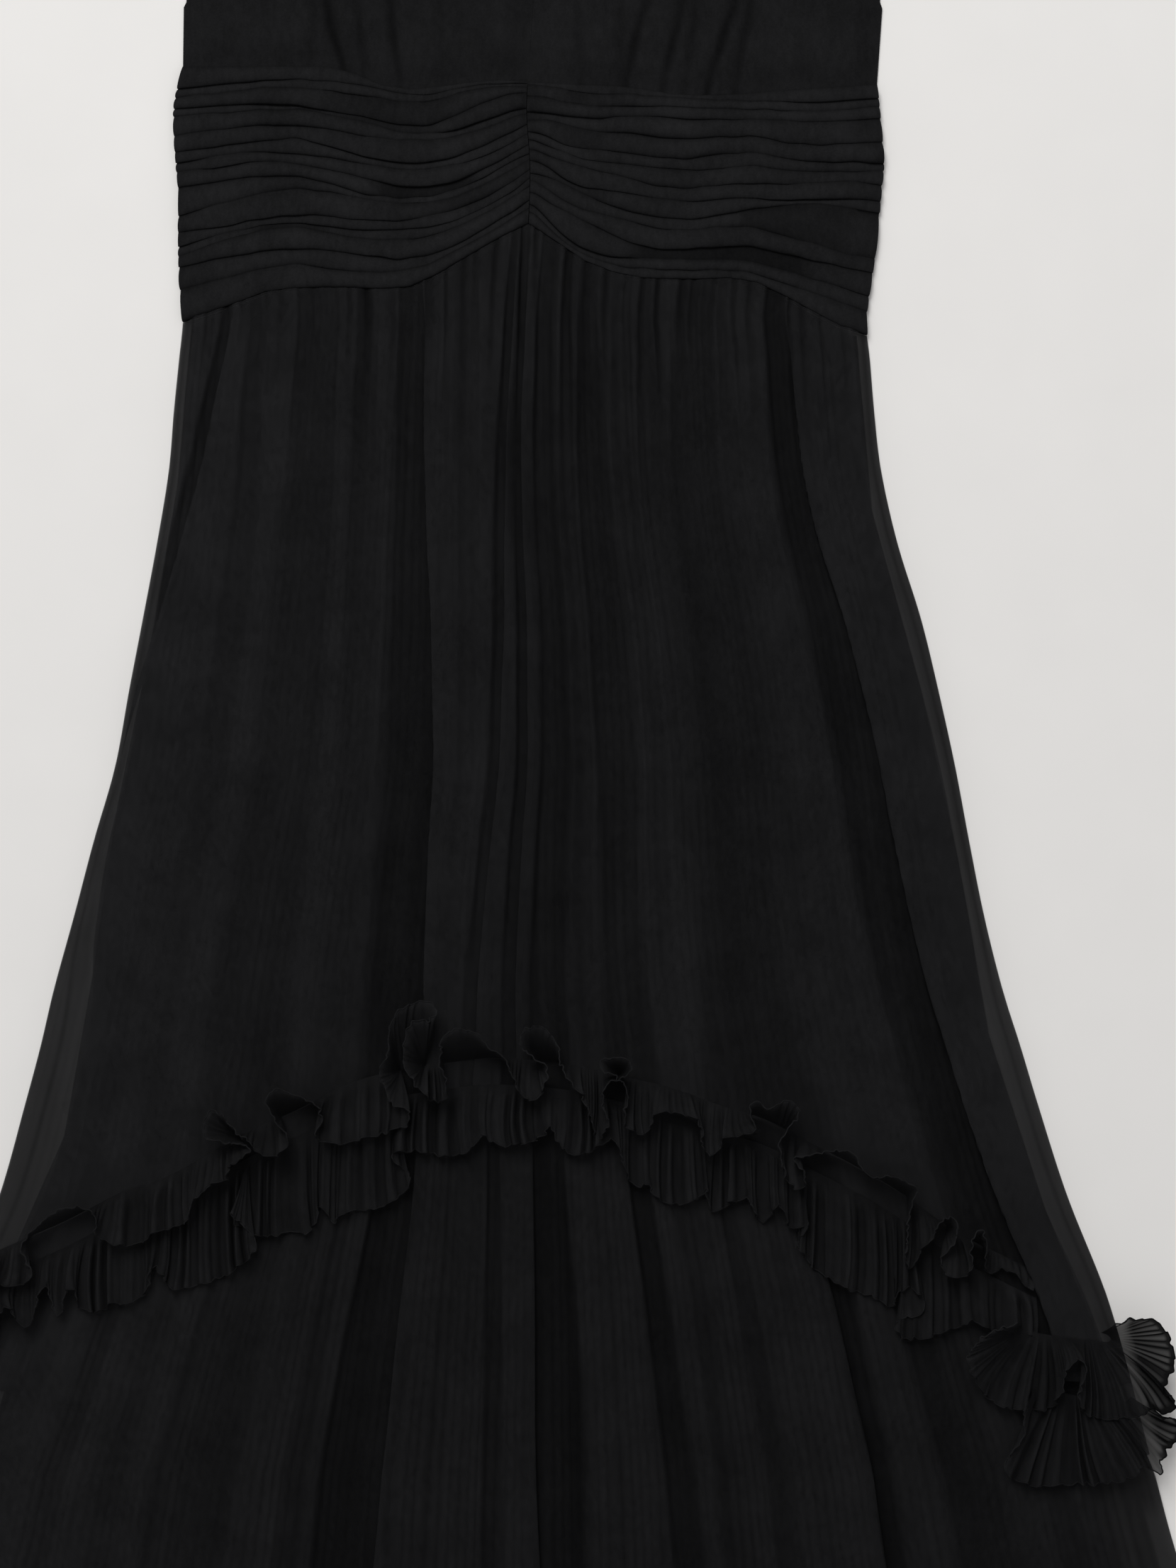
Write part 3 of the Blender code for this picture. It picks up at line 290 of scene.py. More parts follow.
LOWER_EDGE = [
    (-322, -232), (-312, -241), (-300, -241), (-292, -233), (-288, -222), (-285, -212), (-280, -207),
    (-276, -212), (-272, -218), (-267, -216), (-264, -207), (-262, -198), (-258, -196), (-256, -204),
    (-254, -212), (-250, -209), (-249, -202), (-246, -197), (-243, -201), (-241, -208), (-236, -210.5),
    (-229, -210), (-226, -206), (-221, -206), (-216, -207), (-211, -204), (-206, -200), (-204, -191),
    (-201, -187), (-198, -191), (-195, -196), (-190, -198), (-183, -197.5), (-176, -195.5),
    (-168, -193.5), (-161, -190), (-155, -185), (-150, -181), (-148, -174), (-152, -166), (-158, -161),
    (-160, -157), (-158, -163), (-154, -167.5), (-147, -169.5), (-138, -170.5), (-130, -169),
    (-121, -169), (-116, -163), (-115, -156), (-111, -156), (-107, -163), (-102, -159.5), (-95, -157),
    (-86, -155.5), (-78, -153), (-71, -148.5), (-66, -144), (-66, -137), (-71, -133), (-75, -129),
    (-72, -125), (-65, -125), (-58, -125), (-50, -127), (-42, -127), (-34, -125), (-30, -119),
    (-27, -115), (-25, -118), (-20, -121), (-12, -122), (-3, -120.5), (5, -117), (10, -112), (12, -117),
    (16, -123), (22, -126), (30, -125), (36, -121), (40, -119), (44, -120), (46, -126), (49, -135),
    (52, -141), (57, -144), (62, -142), (64, -147), (68, -151), (75, -153), (82, -153), (88, -150),
    (92, -144), (93, -150), (96, -158), (101, -156), (107, -152), (114, -150), (117, -154), (119, -160),
    (124, -163), (128, -158), (131, -153), (134, -158), (137, -165), (143, -165), (147, -162),
    (145, -168), (141, -175), (145, -181), (150, -188), (157, -192), (164, -196), (172, -200),
    (180, -202), (186, -206), (192, -208), (195, -202), (200, -198), (205, -201), (209, -208),
    (205, -213), (198, -214), (194, -219), (197, -225), (206, -225), (215, -223), (222, -220),
    (229, -218), (234, -215), (240, -219), (247, -222), (256, -221), (264, -222), (270, -226),
]
PANEL_UPPER_EDGE = [
    (256, -214), (247, -217), (238, -222), (232, -230), (232, -238), (235, -246), (240, -253),
    (248, -260), (257, -262), (266, -261.5), (274, -262), (279, -256), (281, -247), (283, -238),
    (288, -233), (293, -238), (291, -246), (289, -255), (292, -262), (298, -266), (306, -267),
    (315, -266.5), (323, -266), (330, -262), (336, -265), (342, -262), (341, -257), (335, -253),
    (337, -247), (340, -240), (340, -231), (338, -224), (334, -217.5), (329, -213), (322, -212),
    (315, -212.5), (308, -215),
]
PANEL_UPPER_ROOT = [
    (261, -218), (261, -219), (262, -220), (265, -221), (269, -222), (274, -223), (279, -224),
    (284, -224.5), (289, -225), (294, -225.5), (298, -226), (302, -226.5), (305, -227), (307, -227),
    (308, -226.5), (309, -226), (308, -224.5), (306, -223), (303, -222),
]
PANEL_LOWER_EDGE = [
    (262, -258), (261, -268), (260, -277), (255, -285), (252, -292), (254, -298), (262, -302),
    (272, -303.5), (281, -303), (290, -302.5), (300, -302), (310, -301), (319, -298), (325, -292),
    (330, -294), (335, -296), (334, -290), (337, -284), (342, -279), (345, -273), (342, -268),
    (335, -266), (330, -262),
]
PANEL_LOWER_ROOT = [
    (268, -250), (270, -251), (273, -252), (277, -253), (282, -254), (287, -255), (292, -256),
    (297, -257), (302, -258), (307, -258.5), (312, -259), (316, -259), (318, -258), (320, -257),
]

# The bodice's right half, from the band to the shoulder: inner y, inner x, outer y, outer x
BODICE_SECTIONS = np.array([
    (491, 0, 491, 186.5),
    (530, 0, 528, 188.5),
    (548, 0, 540, 174),
    (565, 0, 560, 160),
    (600, 19, 592, 148),
    (645, 42, 634, 138),
    (690, 64, 678, 132),
    (735, 86, 722, 128),
])
TOP = 735
BACK_NECK_FROM, BACK_NECK_DROP = 560, 42  # the back's neckline shapes the cloth above this height
BUST_PUFF = 7.0  # height of the bust's ease over the flat cloth
BUST_X, BUST_Y = 95, 560
BUST_REACH = 95
# Gathers above the band: place at the band, lean in 41 mm, depth
LEFT_GATHERS = [(-123, 6, 1.0), (-100, -11, 2.4), (-91, -4, 1.4), (-72.5, -3, 2.0), (-48, -1, 0.6)]
RIGHT_GATHERS = [
    (25, 0, 0.8), (50, 10, 2.2), (46, 1, 0.8), (71, 9, 2.0), (81, 6.5, 1.3), (95, 13, 2.6), (109, 9, 1.6),
]
GATHER_WIDTH = 2.4
BODICE_EASE = 2.4  # height of the cloth between the gathers
BODICE_HALF = 188  # half of its width where it meets the band
BODICE_FOOT = 0.6  # share of a section's step from the band up to the first row of BODICE_SECTIONS
BODICE_TUCK = 3  # its lower edge goes under the waistband's first pleat
GATHER_LEAN_HEIGHT = 41
GATHER_END_Y = 572

# The camera hangs over the middle of the photograph, high enough to flatten the folds
VIEW_X, VIEW_Y = 29.45, 70.7
VIEW_HEIGHT = 1500
VIEW_PLANE = 6
VIEW_SPAN = 840.6  # from the photograph's top edge to its bottom edge, on the cloth


def linear(hexadecimal):
    """A colour's linear parts, from its sRGB hex value."""
    parts = [int(hexadecimal[i : i + 2], 16) / 255 for i in (0, 2, 4)]
    return tuple(c / 12.92 if c <= 0.04045 else ((c + 0.055) / 1.055) ** 2.4 for c in parts)


def smooth(share):
    """0 below 0, 1 above 1, and an even S between."""
    share = np.clip(share, 0.0, 1.0)
    return share * share * (3 - 2 * share)


def mix(a, b, share):
    return a + (b - a) * share


def along(table, column, at):
    """The value at a place in a table, on a smooth curve through its rows."""
    keys, values = table[:, 0], table[:, column]
    last = len(keys) - 1
    low = np.maximum(np.arange(last + 1) - 1, 0)
    high = np.minimum(np.arange(last + 1) + 1, last)
    slopes = (values[high] - values[low]) / (keys[high] - keys[low])
    at = np.clip(at, keys[0], keys[-1])
    i = np.clip(np.searchsorted(keys, at, side="left"), 1, last)
    step = keys[i] - keys[i - 1]
    t = (at - keys[i - 1]) / step
    start, end = slopes[i - 1] * step, slopes[i] * step
    rise = values[i] - values[i - 1]
    return values[i - 1] + t * (start + t * (3 * rise - 2 * start - end + t * (start + end - 2 * rise)))


def wander(seed, a, b=0.0):
    """Smooth noise from -1 to 1 that changes over one unit of a and of b."""
    a, b = np.broadcast_arrays(np.asarray(a, float), np.asarray(b, float))
    size = 128
    values = np.random.default_rng(seed).uniform(-1, 1, (size, size))
    row, column = np.floor(a).astype(int), np.floor(b).astype(int)
    down, over = smooth(a - row), smooth(b - column)
    corners = [values[(row + i) % size, (column + j) % size] for i in (0, 1) for j in (0, 1)]
    return mix(mix(corners[0], corners[1], over), mix(corners[2], corners[3], over), down)


def across(u, y, inset=0.0):
    """Where u is in the dress's width at a height."""
    return mix(along(OUTLINE, 1, y), along(OUTLINE, 2, y), (u + 1) / 2) - u * inset


def half_width(y):
    """Half of the dress's width at a height."""
    return (across(1, y) - across(-1, y)) / 2


def band_edge(u, column):
    """One of the band's long edges, straight between the places that the solids share."""
    knots = np.linspace(-1, 1, SEAM_STEPS + 1)
    return np.interp(u, knots, along(BAND_EDGES, column, knots))


def band_top(u):
    return band_edge(u, 1)


def band_bottom(u):
    return band_edge(u, 2)


def u_at(x, y):
    """The u of a place."""
    return 2 * (x - across(-1, y)) / (across(1, y) - across(-1, y)) - 1


def by_u(table):
    """A table of places as a table of heights at u."""
    return np.stack([u_at(table[:, 0], table[:, 1]), table[:, 1]], axis=-1)


def from_edge(x, y):
    """How far in a place is from the dress's nearer edge."""
    return np.minimum(x - across(-1, y), across(1, y) - x)


def front_seam(u):
    """The height of the seam that the front's frills hang from: the hem's, and beyond it the right fold's."""
    main, panel = (along(by_u(table), 1, u) for table in (MAIN_SEAM, PANEL_SEAM))
    return mix(main, panel, smooth((u - PANEL_EDGE) / 0.008 + 0.5))


def over_hem(u):
    """The height of the over-skirt's hem at the front."""
    return front_seam(u) - FRILL_SPACING


def back_seam(u):
    """The height of the back's upper frill seam, which meets the front's at both sides."""
    ends = mix(front_seam(-1), front_seam(1), (u + 1) / 2)
    return ends - BACK_SEAM_DROP * (1 - u * u)


def back_frill_end(u):
    return back_seam(u) - FRILL_SPACING - FRILL_DEPTH


def hem(u):
    """The height of the under-skirt's hem, the dress's lowest edge."""
    return HEM + HEM_LIFT * u * u


# Meshes and materials


def node(tree, kind, inputs=None, links=None, **settings):
    """Adds a node, sets its properties and sockets, and links its inputs."""
    made = tree.nodes.new(kind)
    for name, value in settings.items():
        setattr(made, name, value)
    for name, value in (inputs or {}).items():
        made.inputs[name].default_value = value
    for name, socket in (links or {}).items():
        tree.links.new(socket, made.inputs[name])
    return made


def new_tree(name):
    """A material and its empty node tree, or None for the tree where the material is there already."""
    material = bpy.data.materials.get(name)
    if material:
        return material, None
    material = bpy.data.materials.new(name)
    material.use_nodes = True
    material.node_tree.nodes.clear()
    return material, material.node_tree


def chiffon(name, colour, opacity, grain_and_crush_shade):
    """Crinkled polyester chiffon, piece-dyed black, heat-set in fine pleats.

    It is matt and sheer: a single layer lets the board through, and layers add up to black. The attribute
    fold carries painted shade: it is 1 on the lit folds and 0 in the deep valleys between them, where little
    light gets in, and the tone is painted darker as it falls.
    """
    material, tree = new_tree(name)
    if tree is None:
        return material
    place = node(tree, "ShaderNodeTexCoord").outputs["Object"]
    fold = node(tree, "ShaderNodeAttribute", attribute_name="fold").outputs["Fac"]
    # Painted shade: the valleys' dark tone, a share of the lit colour, and fold mixes between the two
    deep = tuple(c * VALLEY_SHADE_SHARE for c in colour)
    tone = node(
        tree, "ShaderNodeMix", {"A": (*deep, 1), "B": (*colour, 1)}, {"Factor": fold}, data_type="RGBA"
    )
    # Crepe yarns 0.35 mm apart, drawn 1.1 mm apart so that their grain shows in a whole picture
    yarn = node(
        tree, "ShaderNodeTexNoise", {"Scale": 1 / 0.0011, "Detail": 3, "Roughness": 0.6}, {"Vector": place}
    )
    # Uneven dye, with the painted shade of broad crush marks, 30 mm across
    cloud = node(tree, "ShaderNodeTexNoise", {"Scale": 1 / 0.03, "Detail": 2}, {"Vector": place})
    # Painted shade of small crush creases, 3 mm wide and 6 mm long, that run down the cloth
    drawn_out = node(
        tree, "ShaderNodeMapping", {"Scale": (1 / 0.003, 1 / 0.006, 1 / 0.003)}, {"Vector": place}
    )
    crush = node(
        tree, "ShaderNodeTexNoise", {"Scale": 1.0, "Detail": 2}, {"Vector": drawn_out.outputs[0]}
    )
    patches = node(
        tree, "ShaderNodeMath", {}, {0: crush.outputs["Fac"], 1: cloud.outputs["Fac"]}, operation="ADD"
    )
    marks = node(
        tree, "ShaderNodeMath", {}, {0: yarn.outputs["Fac"], 1: patches.outputs[0]}, operation="ADD"
    )
    gain = node(
        tree,
        "ShaderNodeMapRange",
        {"From Min": 1.1, "From Max": 1.9, "To Min": 1 - grain_and_crush_shade, "To Max": 1 + grain_and_crush_shade},
        {"Value": marks.outputs[0]},
    )
    grey = node(tree, "ShaderNodeCombineColor", {}, {k: gain.outputs[0] for k in ("Red", "Green", "Blue")})
    toned = node(
        tree,
        "ShaderNodeMix",
        {"Factor": 1.0},
        {"A": tone.outputs["Result"], "B": grey.outputs[0]},
        data_type="RGBA",
        blend_type="MULTIPLY",
    )
    relief = node(
        tree, "ShaderNodeBump", {"Strength": 0.25, "Distance": 0.00012}, {"Height": yarn.outputs["Fac"]}
    )
    # Cloth that stands or lies double in the deep places stops more light than where it is stretched flat
    cover = node(tree, "ShaderNodeMapRange", {"To Min": 1.0, "To Max": opacity}, {"Value": fold})
    shader = node(
        tree,
        "ShaderNodeBsdfPrincipled",
        {"Roughness": 0.82, "IOR": 1.5, "Specular IOR Level": 0.03},
        {
            "Base Color": toned.outputs["Result"],
            "Normal": relief.outputs["Normal"],
            "Alpha": cover.outputs[0],
        },
    )
    node(tree, "ShaderNodeOutputMaterial", {}, {"Surface": shader.outputs[0]})
    return material


def satin(name, colour):
    """Polyester satin lining, woven in long floats: opaque, darker than the chiffon, with a soft gloss."""
    material, tree = new_tree(name)
    if tree is None:
        return material
    place = node(tree, "ShaderNodeTexCoord").outputs["Object"]
    # Floats run down the slip: noise stretched 1 to 20, 0.8 mm across
    stretched = node(
        tree, "ShaderNodeMapping", {"Scale": (1 / 0.0008, 1 / 0.016, 1 / 0.0008)}, {"Vector": place}
    )
    floats = node(tree, "ShaderNodeTexNoise", {"Scale": 1.0, "Detail": 2}, {"Vector": stretched.outputs[0]})
    tone = node(
        tree,
        "ShaderNodeMix",
        {"A": (*[c * 0.8 for c in colour], 1), "B": (*[c * 1.2 for c in colour], 1)},
        {"Factor": floats.outputs["Fac"]},
        data_type="RGBA",
    )
    rough = node(
        tree, "ShaderNodeMapRange", {"To Min": 0.42, "To Max": 0.55}, {"Value": floats.outputs["Fac"]}
    )
    shader = node(
        tree,
        "ShaderNodeBsdfPrincipled",
        {"IOR": 1.5, "Specular IOR Level": 0.2},
        {"Base Color": tone.outputs["Result"], "Roughness": rough.outputs[0]},
    )
    node(tree, "ShaderNodeOutputMaterial", {}, {"Surface": shader.outputs[0]})
    return material


def painted_board(name, colour):
    """Wooden board painted matt off-white and lightly sanded: faint roller mottle, no gloss."""
    material, tree = new_tree(name)
    if tree is None:
        return material
    place = node(tree, "ShaderNodeTexCoord").outputs["Object"]
    mottle = node(tree, "ShaderNodeTexNoise", {"Scale": 1 / 0.05, "Detail": 4}, {"Vector": place})
    tone = node(
        tree,
        "ShaderNodeMix",
        {"A": (*[c * 0.975 for c in colour], 1), "B": (*[min(c * 1.02, 1) for c in colour], 1)},
        {"Factor": mottle.outputs["Fac"]},
        data_type="RGBA",
    )
    shader = node(
        tree,
        "ShaderNodeBsdfPrincipled",
        {"Roughness": 0.75, "Specular IOR Level": 0.2},
        {"Base Color": tone.outputs["Result"]},
    )
    node(tree, "ShaderNodeOutputMaterial", {}, {"Surface": shader.outputs[0]})
    return material


def cloth_piece(name, grids, material, nodes=()):
    """Makes one piece from grids of points in millimetres, each with a fold value of painted shade per point.
    """
    name = "cloth_" + name
    points, folds, faces = [], [], []
    first = 0
    for grid, fold in grids:
        rows, columns = grid.shape[:2]
        index = first + np.arange(rows * columns).reshape(rows, columns)
        quads = np.stack([index[:-1, :-1], index[1:, :-1], index[1:, 1:], index[:-1, 1:]], axis=-1)
        points.append(grid.reshape(-1, 3))
        folds.append(np.broadcast_to(fold, (rows, columns)).reshape(-1))
        faces.append(quads.reshape(-1, 4))
        first += rows * columns
    points, folds, faces = np.concatenate(points) * MM, np.concatenate(folds), np.concatenate(faces)
    mesh = bpy.data.meshes.new(name)
    mesh.from_pydata(points.tolist(), [], faces.tolist())
    mesh.validate()
    mesh.shade_smooth()
    # The attribute fold carries the painted shade and light of the cloth
    mesh.attributes.new("fold", "FLOAT", "POINT").data.foreach_set("value", folds.astype(np.float32))
    mesh.materials.append(material)
    made = bpy.data.objects.new(name, mesh)
    bpy.context.scene.collection.objects.link(made)
    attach(made, "root")
    if nodes:
        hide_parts(*nodes)
    return made


def tube(path, radius, sides):
    """A grid round a path of points: a seam or a rolled edge."""
    step = np.gradient(path, axis=0)
    step /= np.maximum(np.linalg.norm(step, axis=1, keepdims=True), 1e-9)
    side = np.cross(step, (0.0, 0.0, 1.0))
    side /= np.maximum(np.linalg.norm(side, axis=1, keepdims=True), 1e-9)
    up = np.cross(side, step)
    angles = np.linspace(0, 2 * math.pi, sides + 1)
    rings = [path + radius * (math.cos(a) * side + math.sin(a) * up) for a in angles]
    return np.stack(rings, axis=0)


def pushed(grid, push):
    """A grid moved along its normals."""
    down = np.gradient(grid, axis=0)
    over = np.gradient(grid, axis=1)
    normal = np.cross(over, -down)
    normal /= np.maximum(np.linalg.norm(normal, axis=2, keepdims=True), 1e-9)
    return grid + normal * push[..., None]


# Skirts


def fold_profile(valleys, u, v, half, seed):
    """Height share from 0 to 1, and the shift in millimetres that folds the cloth over its valleys."""
    height = np.ones_like(u)
    shift = np.zeros_like(u)
    grown = mix(FLANK_AT_BAND, 1, smooth(v / FLANK_GROWTH))
    for n, valley in enumerate(valleys):
        stray = VALLEY_STRAY * wander(seed + n, 4 * v) * smooth(v / 0.3)
        middle = mix(valley.top, valley.hem, v) + stray / half
        spread = 1 + 0.25 * wander(seed + 50 + n, 4 * v)
        floor = mix(valley.width_top, valley.width_hem, v) / 2 * spread
        off = (u - middle) * half
        flank = np.where(off < 0, valley.left_flank, valley.right_flank)
        away = (abs(off) - floor) / (flank * grown)
        height *= 1 - mix(valley.deep_top, valley.deep_hem, v) * (1 - smooth(away))
        laps = ((-1, valley.left_lap, valley.left_flank), (1, valley.right_lap, valley.right_flank))
        for side, lap, flank in laps:
            if lap:
                width = flank * grown
                s = (off - side * (floor + width / 2)) / width
                reach = (lap + width / 2) * smooth(v / 0.25)
                shift -= np.where(abs(s) < 1, reach * np.sin(math.pi * s), 0.0)
    return height, shift


def crown(valleys, u, v):
    """A low arch over each fold, between the valleys beside it."""
    edges = [-1.0] + [mix(w.top, w.hem, v) for w in valleys] + [1.0]
    arch = np.zeros_like(u)
    for low, high in zip(edges, edges[1:]):
        s = (u - low) / (high - low)
        arch += np.where((s >= 0) & (s < 1), np.sin(math.pi * np.clip(s, 0, 1)), 0.0)
    return arch


def fine_pleats(u, v, count, seed):
    """The heat-set pleats, as a share from 0 to 1: narrow creases between round crests, uneven as worn."""
    phase = count * (u + 1) / 2 + 0.35 * wander(seed, u * count / 5, v * 3)
    ridge = abs(np.sin(math.pi * phase)) ** 0.8
    strength = 0.6 + 0.6 * wander(seed + 1, u * count / 3, v * 3)
    return ridge * strength


def band_gathers(u, down, half, count, seed):
    """Creases that the gathers leave under the band, as a depth share from 0 to 1."""
    draw = np.random.default_rng(seed)
    places = np.linspace(-0.97, 0.97, count) + draw.uniform(-0.5, 0.5, count) / count
    depth = np.zeros_like(u)
    for place in places:
        central = math.exp(-(((place - 0.05) / 0.5) ** 2))
        length = draw.uniform(45, 110) * (1 + 0.8 * central)
        deep = draw.uniform(0.6, 1.0) * (0.8 + 0.2 * central)
        width = draw.uniform(1.1, 2.4)
        lean = draw.uniform(-0.02, 0.02)
        off = (u - place - lean * down / 100) * half
        fade = 1 - smooth(down / length)
        depth = np.maximum(depth, deep * fade * np.exp(-((off / width) ** 2)))
    return depth


def over_front_base(x, y):
    """The height of the over-skirt's front with no folds: down on the back at its side edges."""
    return mix(CLOTH_ON_BACK, OVER_FRONT_LOW + WALL, smooth(from_edge(x, y) / EDGE_ROLL))


def under_inset(y, u):
    """How far the under-skirt stays inside the outline on the side of u."""
    return np.where(u < 0, along(UNDER_INSET, 1, y), along(UNDER_INSET, 2, y))


def sheer_margin(fold, x, y, u):
    """Painted light where the under-skirt doesn't reach and the board's light comes through, with the side
    seam's darker line inside.
    """
    inward = from_edge(x, y)
    sheer = smooth((under_inset(y, u) + 1 - inward) / SHEER_FADE)
    line = np.exp(-(((inward - 0.48 * under_inset(y, u)) / 1.4) ** 2)) * sheer
    return np.clip(mix(fold, SHEER_SHADE, sheer) - 0.3 * line, 0, 1)


def over_skirt_front(look):
    """The over-skirt's front, gathered under the band, with its margins at the sides sheer."""
    columns = 760
    u, v = np.meshgrid(
        np.linspace(-1, 1, columns), np.concatenate([np.linspace(0, 0.12, 16), np.linspace(0.12, 1, 62)[1:]])
    )
    half = half_width(mix(band_bottom(0), over_hem(0), v))
    y = mix(band_bottom(u) - SEAM, over_hem(u) + SEAM, v)
    height, shift = fold_profile(OVER_VALLEYS, u, v, half, 11)
    # The fold at the right lies over the others' hem, so it isn't pressed flat there
    panel = smooth((u - PANEL_EDGE) / 0.02)
    press = mix(1, mix(HEM_PRESS, PANEL_PRESS, panel), smooth((v - 0.76) / 0.12))
    size = OVER_FOLD * mix(BAND_PRESS, 1, smooth(v / 0.14)) * press
    x = across(u, y)
    base = over_front_base(x, y)
    edge = smooth(from_edge(x, y) / EDGE_ROLL)
    arch = 1 + (FOLD_CROWN - 1) * crown(OVER_VALLEYS, u, v)
    pleat = fine_pleats(u, v, look.pleat_count, 71)
    down = band_bottom(u) - y
    gather = band_gathers(u, down, half, BAND_GATHERS, 6)
    z = base + edge * (height * arch * size - GATHER_DEPTH * gather) + edge * look.pleat_depth * pleat
    streak = wander(81, u * 26, v * 1.2) + 0.6 * wander(82, u * 55, v * 2.5)
    # Painted shade darkens the middle, and painted light lightens the margins, where the board's light comes
    # through the sheer cloth
    middle = np.exp(-(((u - 0.13) / 0.17) ** 2)) * smooth(v / 0.2)
    margin = smooth((abs(u) - 0.84) / 0.12)
    # Painted shade: darker in the valleys and in the gathers' creases under the band
    fold = OVER_SHADE + (LIT_SHADE - OVER_SHADE) * height * (1 - gather)
    fold = fold - 0.17 * middle * height + 0.20 * margin + 0.07 * streak * (1 + 1.5 * margin)
    # The folds at the left and the right fold catch more light
    fold = fold + (0.13 * smooth((-u - 0.45) / 0.2) + 0.16 * smooth((u - PANEL_EDGE) / 0.1)) * height
    # Painted shade of the fine pleats: lighter on their crests, darker in their creases
    fold = fold + 0.26 * (pleat - 0.5) * mix(0.5, 1, height) * (1 + margin)
    fold = sheer_margin(fold, x, y, u)
    grid = np.stack([x + shift * edge, y, z], axis=-1)
    return cloth_piece(
        "over_skirt_front", [(grid, fold)], look.cloth("over"), ["over_skirt_front"]
    )


def step_start(u):
    """The height at which the under-skirt's back starts to come down past the back's frills."""
    return back_frill_end(u) - BACK_SCALLOP - STEP_CLEARANCE


def under_back_low(y, u):
    """The under-skirt's back lies on the over-skirt's back, and on the surface below its frills."""
    return LAYER * (1 - smooth((step_start(u) - y) / STEP_LENGTH))


def under_front_base(x, y, u):
    """The height of the under-skirt's front with no folds, and 0 at its side edges to 1 inside them."""
    inset = under_inset(y, u)
    inward = np.minimum(x - across(-1, y, inset), across(1, y, inset) - x)
    edge = under_back_low(y + STEP_LENGTH / 2, u) + CLOTH_ON_BACK
    on_lining = smooth((y - LINING_STEP_FOOT) / (LINING_STEP_TOP - LINING_STEP_FOOT))
    middle = mix(LAYER, UNDER_FRONT_LOW, on_lining) + WALL
    shows = smooth((UNDER_SHOWS_BELOW + UNDER_SHOWS_OVER - y) / UNDER_SHOWS_OVER)
    roll = mix(EDGE_ROLL, 2 * EDGE_ROLL, shows)
    rise = smooth(inward / roll)
    return mix(edge, np.maximum(middle, edge), rise), rise


def under_skirt_front(look):
    """The under-skirt's front: plain and smooth where the over-skirt hides it, and folded below its hem."""
    columns = 1000
    hidden = np.linspace(0, 1, 7)[:-1]
    shown = np.linspace(0, 1, 84)
    u, row = np.meshgrid(np.linspace(-1, 1, columns), np.concatenate([hidden - 1, shown]))
    v = np.maximum(row, 0.0)
    y = np.where(
        row < 0, mix(band_bottom(u) - 2 * SEAM, over_hem(u), row + 1), mix(over_hem(u), hem(u), v)
    )
    half = half_width(mix(over_hem(0), HEM, v))
    height, shift = fold_profile(UNDER_VALLEYS, u, v, half, 211)
    grown = smooth((over_hem(u) - y) / FOLD_GROWTH)
    x = across(u, y, under_inset(y, u))
    base, edge = under_front_base(x, y, u)
    arch = 1 + (FOLD_CROWN - 1) * crown(UNDER_VALLEYS, u, v)
    pleat = fine_pleats(u, v, look.pleat_count * 1.25, 271)
    z = base + edge * (height * arch * UNDER_FOLD * grown + look.pleat_depth * pleat * mix(0.2, 1, grown))
    streak = wander(281, u * 26, v * 1.2) + 0.6 * wander(282, u * 55, v * 2.5)
    # Painted shade: darker in the valleys and on the lower tier, with the fine pleats lighter on their crests
    # and darker in their creases
    fold = UNDER_SHADE + (LIT_SHADE - UNDER_DIMMER - UNDER_SHADE) * mix(0.5, height, grown)
    fold = fold + 0.06 * streak + 0.28 * (pleat - 0.5) * mix(0.5, 1, height)
    # Painted light at the side edges
    fold = fold + 0.1 * smooth((abs(u) - 0.9) / 0.1)
    # The folds at the left catch more light
    fold = fold + 0.22 * smooth((-u - 0.4) / 0.3) * height
    # Painted light in the sheer rims near the hem, where the board's light comes through
    rim = smooth((RIM_WIDTH - from_edge(x, y)) / SHEER_FADE) * smooth((RIM_TOP - y) / 12)
    fold = mix(fold, SHEER_SHADE, rim)
    grid = np.stack([x + shift * grown * edge, y, z], axis=-1)
    return cloth_piece(
        "under_skirt_front", [(grid, fold)], look.cloth("under"), ["under_skirt_front"]
    )


def no_offset(y, u):
    """No inset and no height anywhere, for a panel that lies flat on the board up to the outline."""
    return 0 * y


def flat_panel(name, look, top, bottom, inset, low, count, seed, columns=420, rows=40):
    """A panel of the back: pleated cloth pressed flat between two edges given as heights at u."""
    u, v = np.meshgrid(np.linspace(-1, 1, columns), np.linspace(0, 1, rows))
    y = mix(top(u), bottom(u), v)
    x = across(u, y, inset(y, u))
    pleat = fine_pleats(u, v, count, seed)
    soft = 0.5 + 0.5 * wander(seed + 2, u * 9, v * 3)
    z = low(y, u) + 0.15 + 0.35 * soft + 0.25 * pleat
    grid = np.stack([x, y, z], axis=-1)
    # Painted shade: lighter where the cloth stands higher and on the pleats' crests, with painted light at
    # the sheer side edges
    fold = 0.25 + 0.25 * soft + 0.15 * pleat + 0.45 * smooth((abs(u) - 0.86) / 0.06)
    return cloth_piece(name, [(grid, np.clip(fold, 0, 1))], look.cloth("back"), [name])


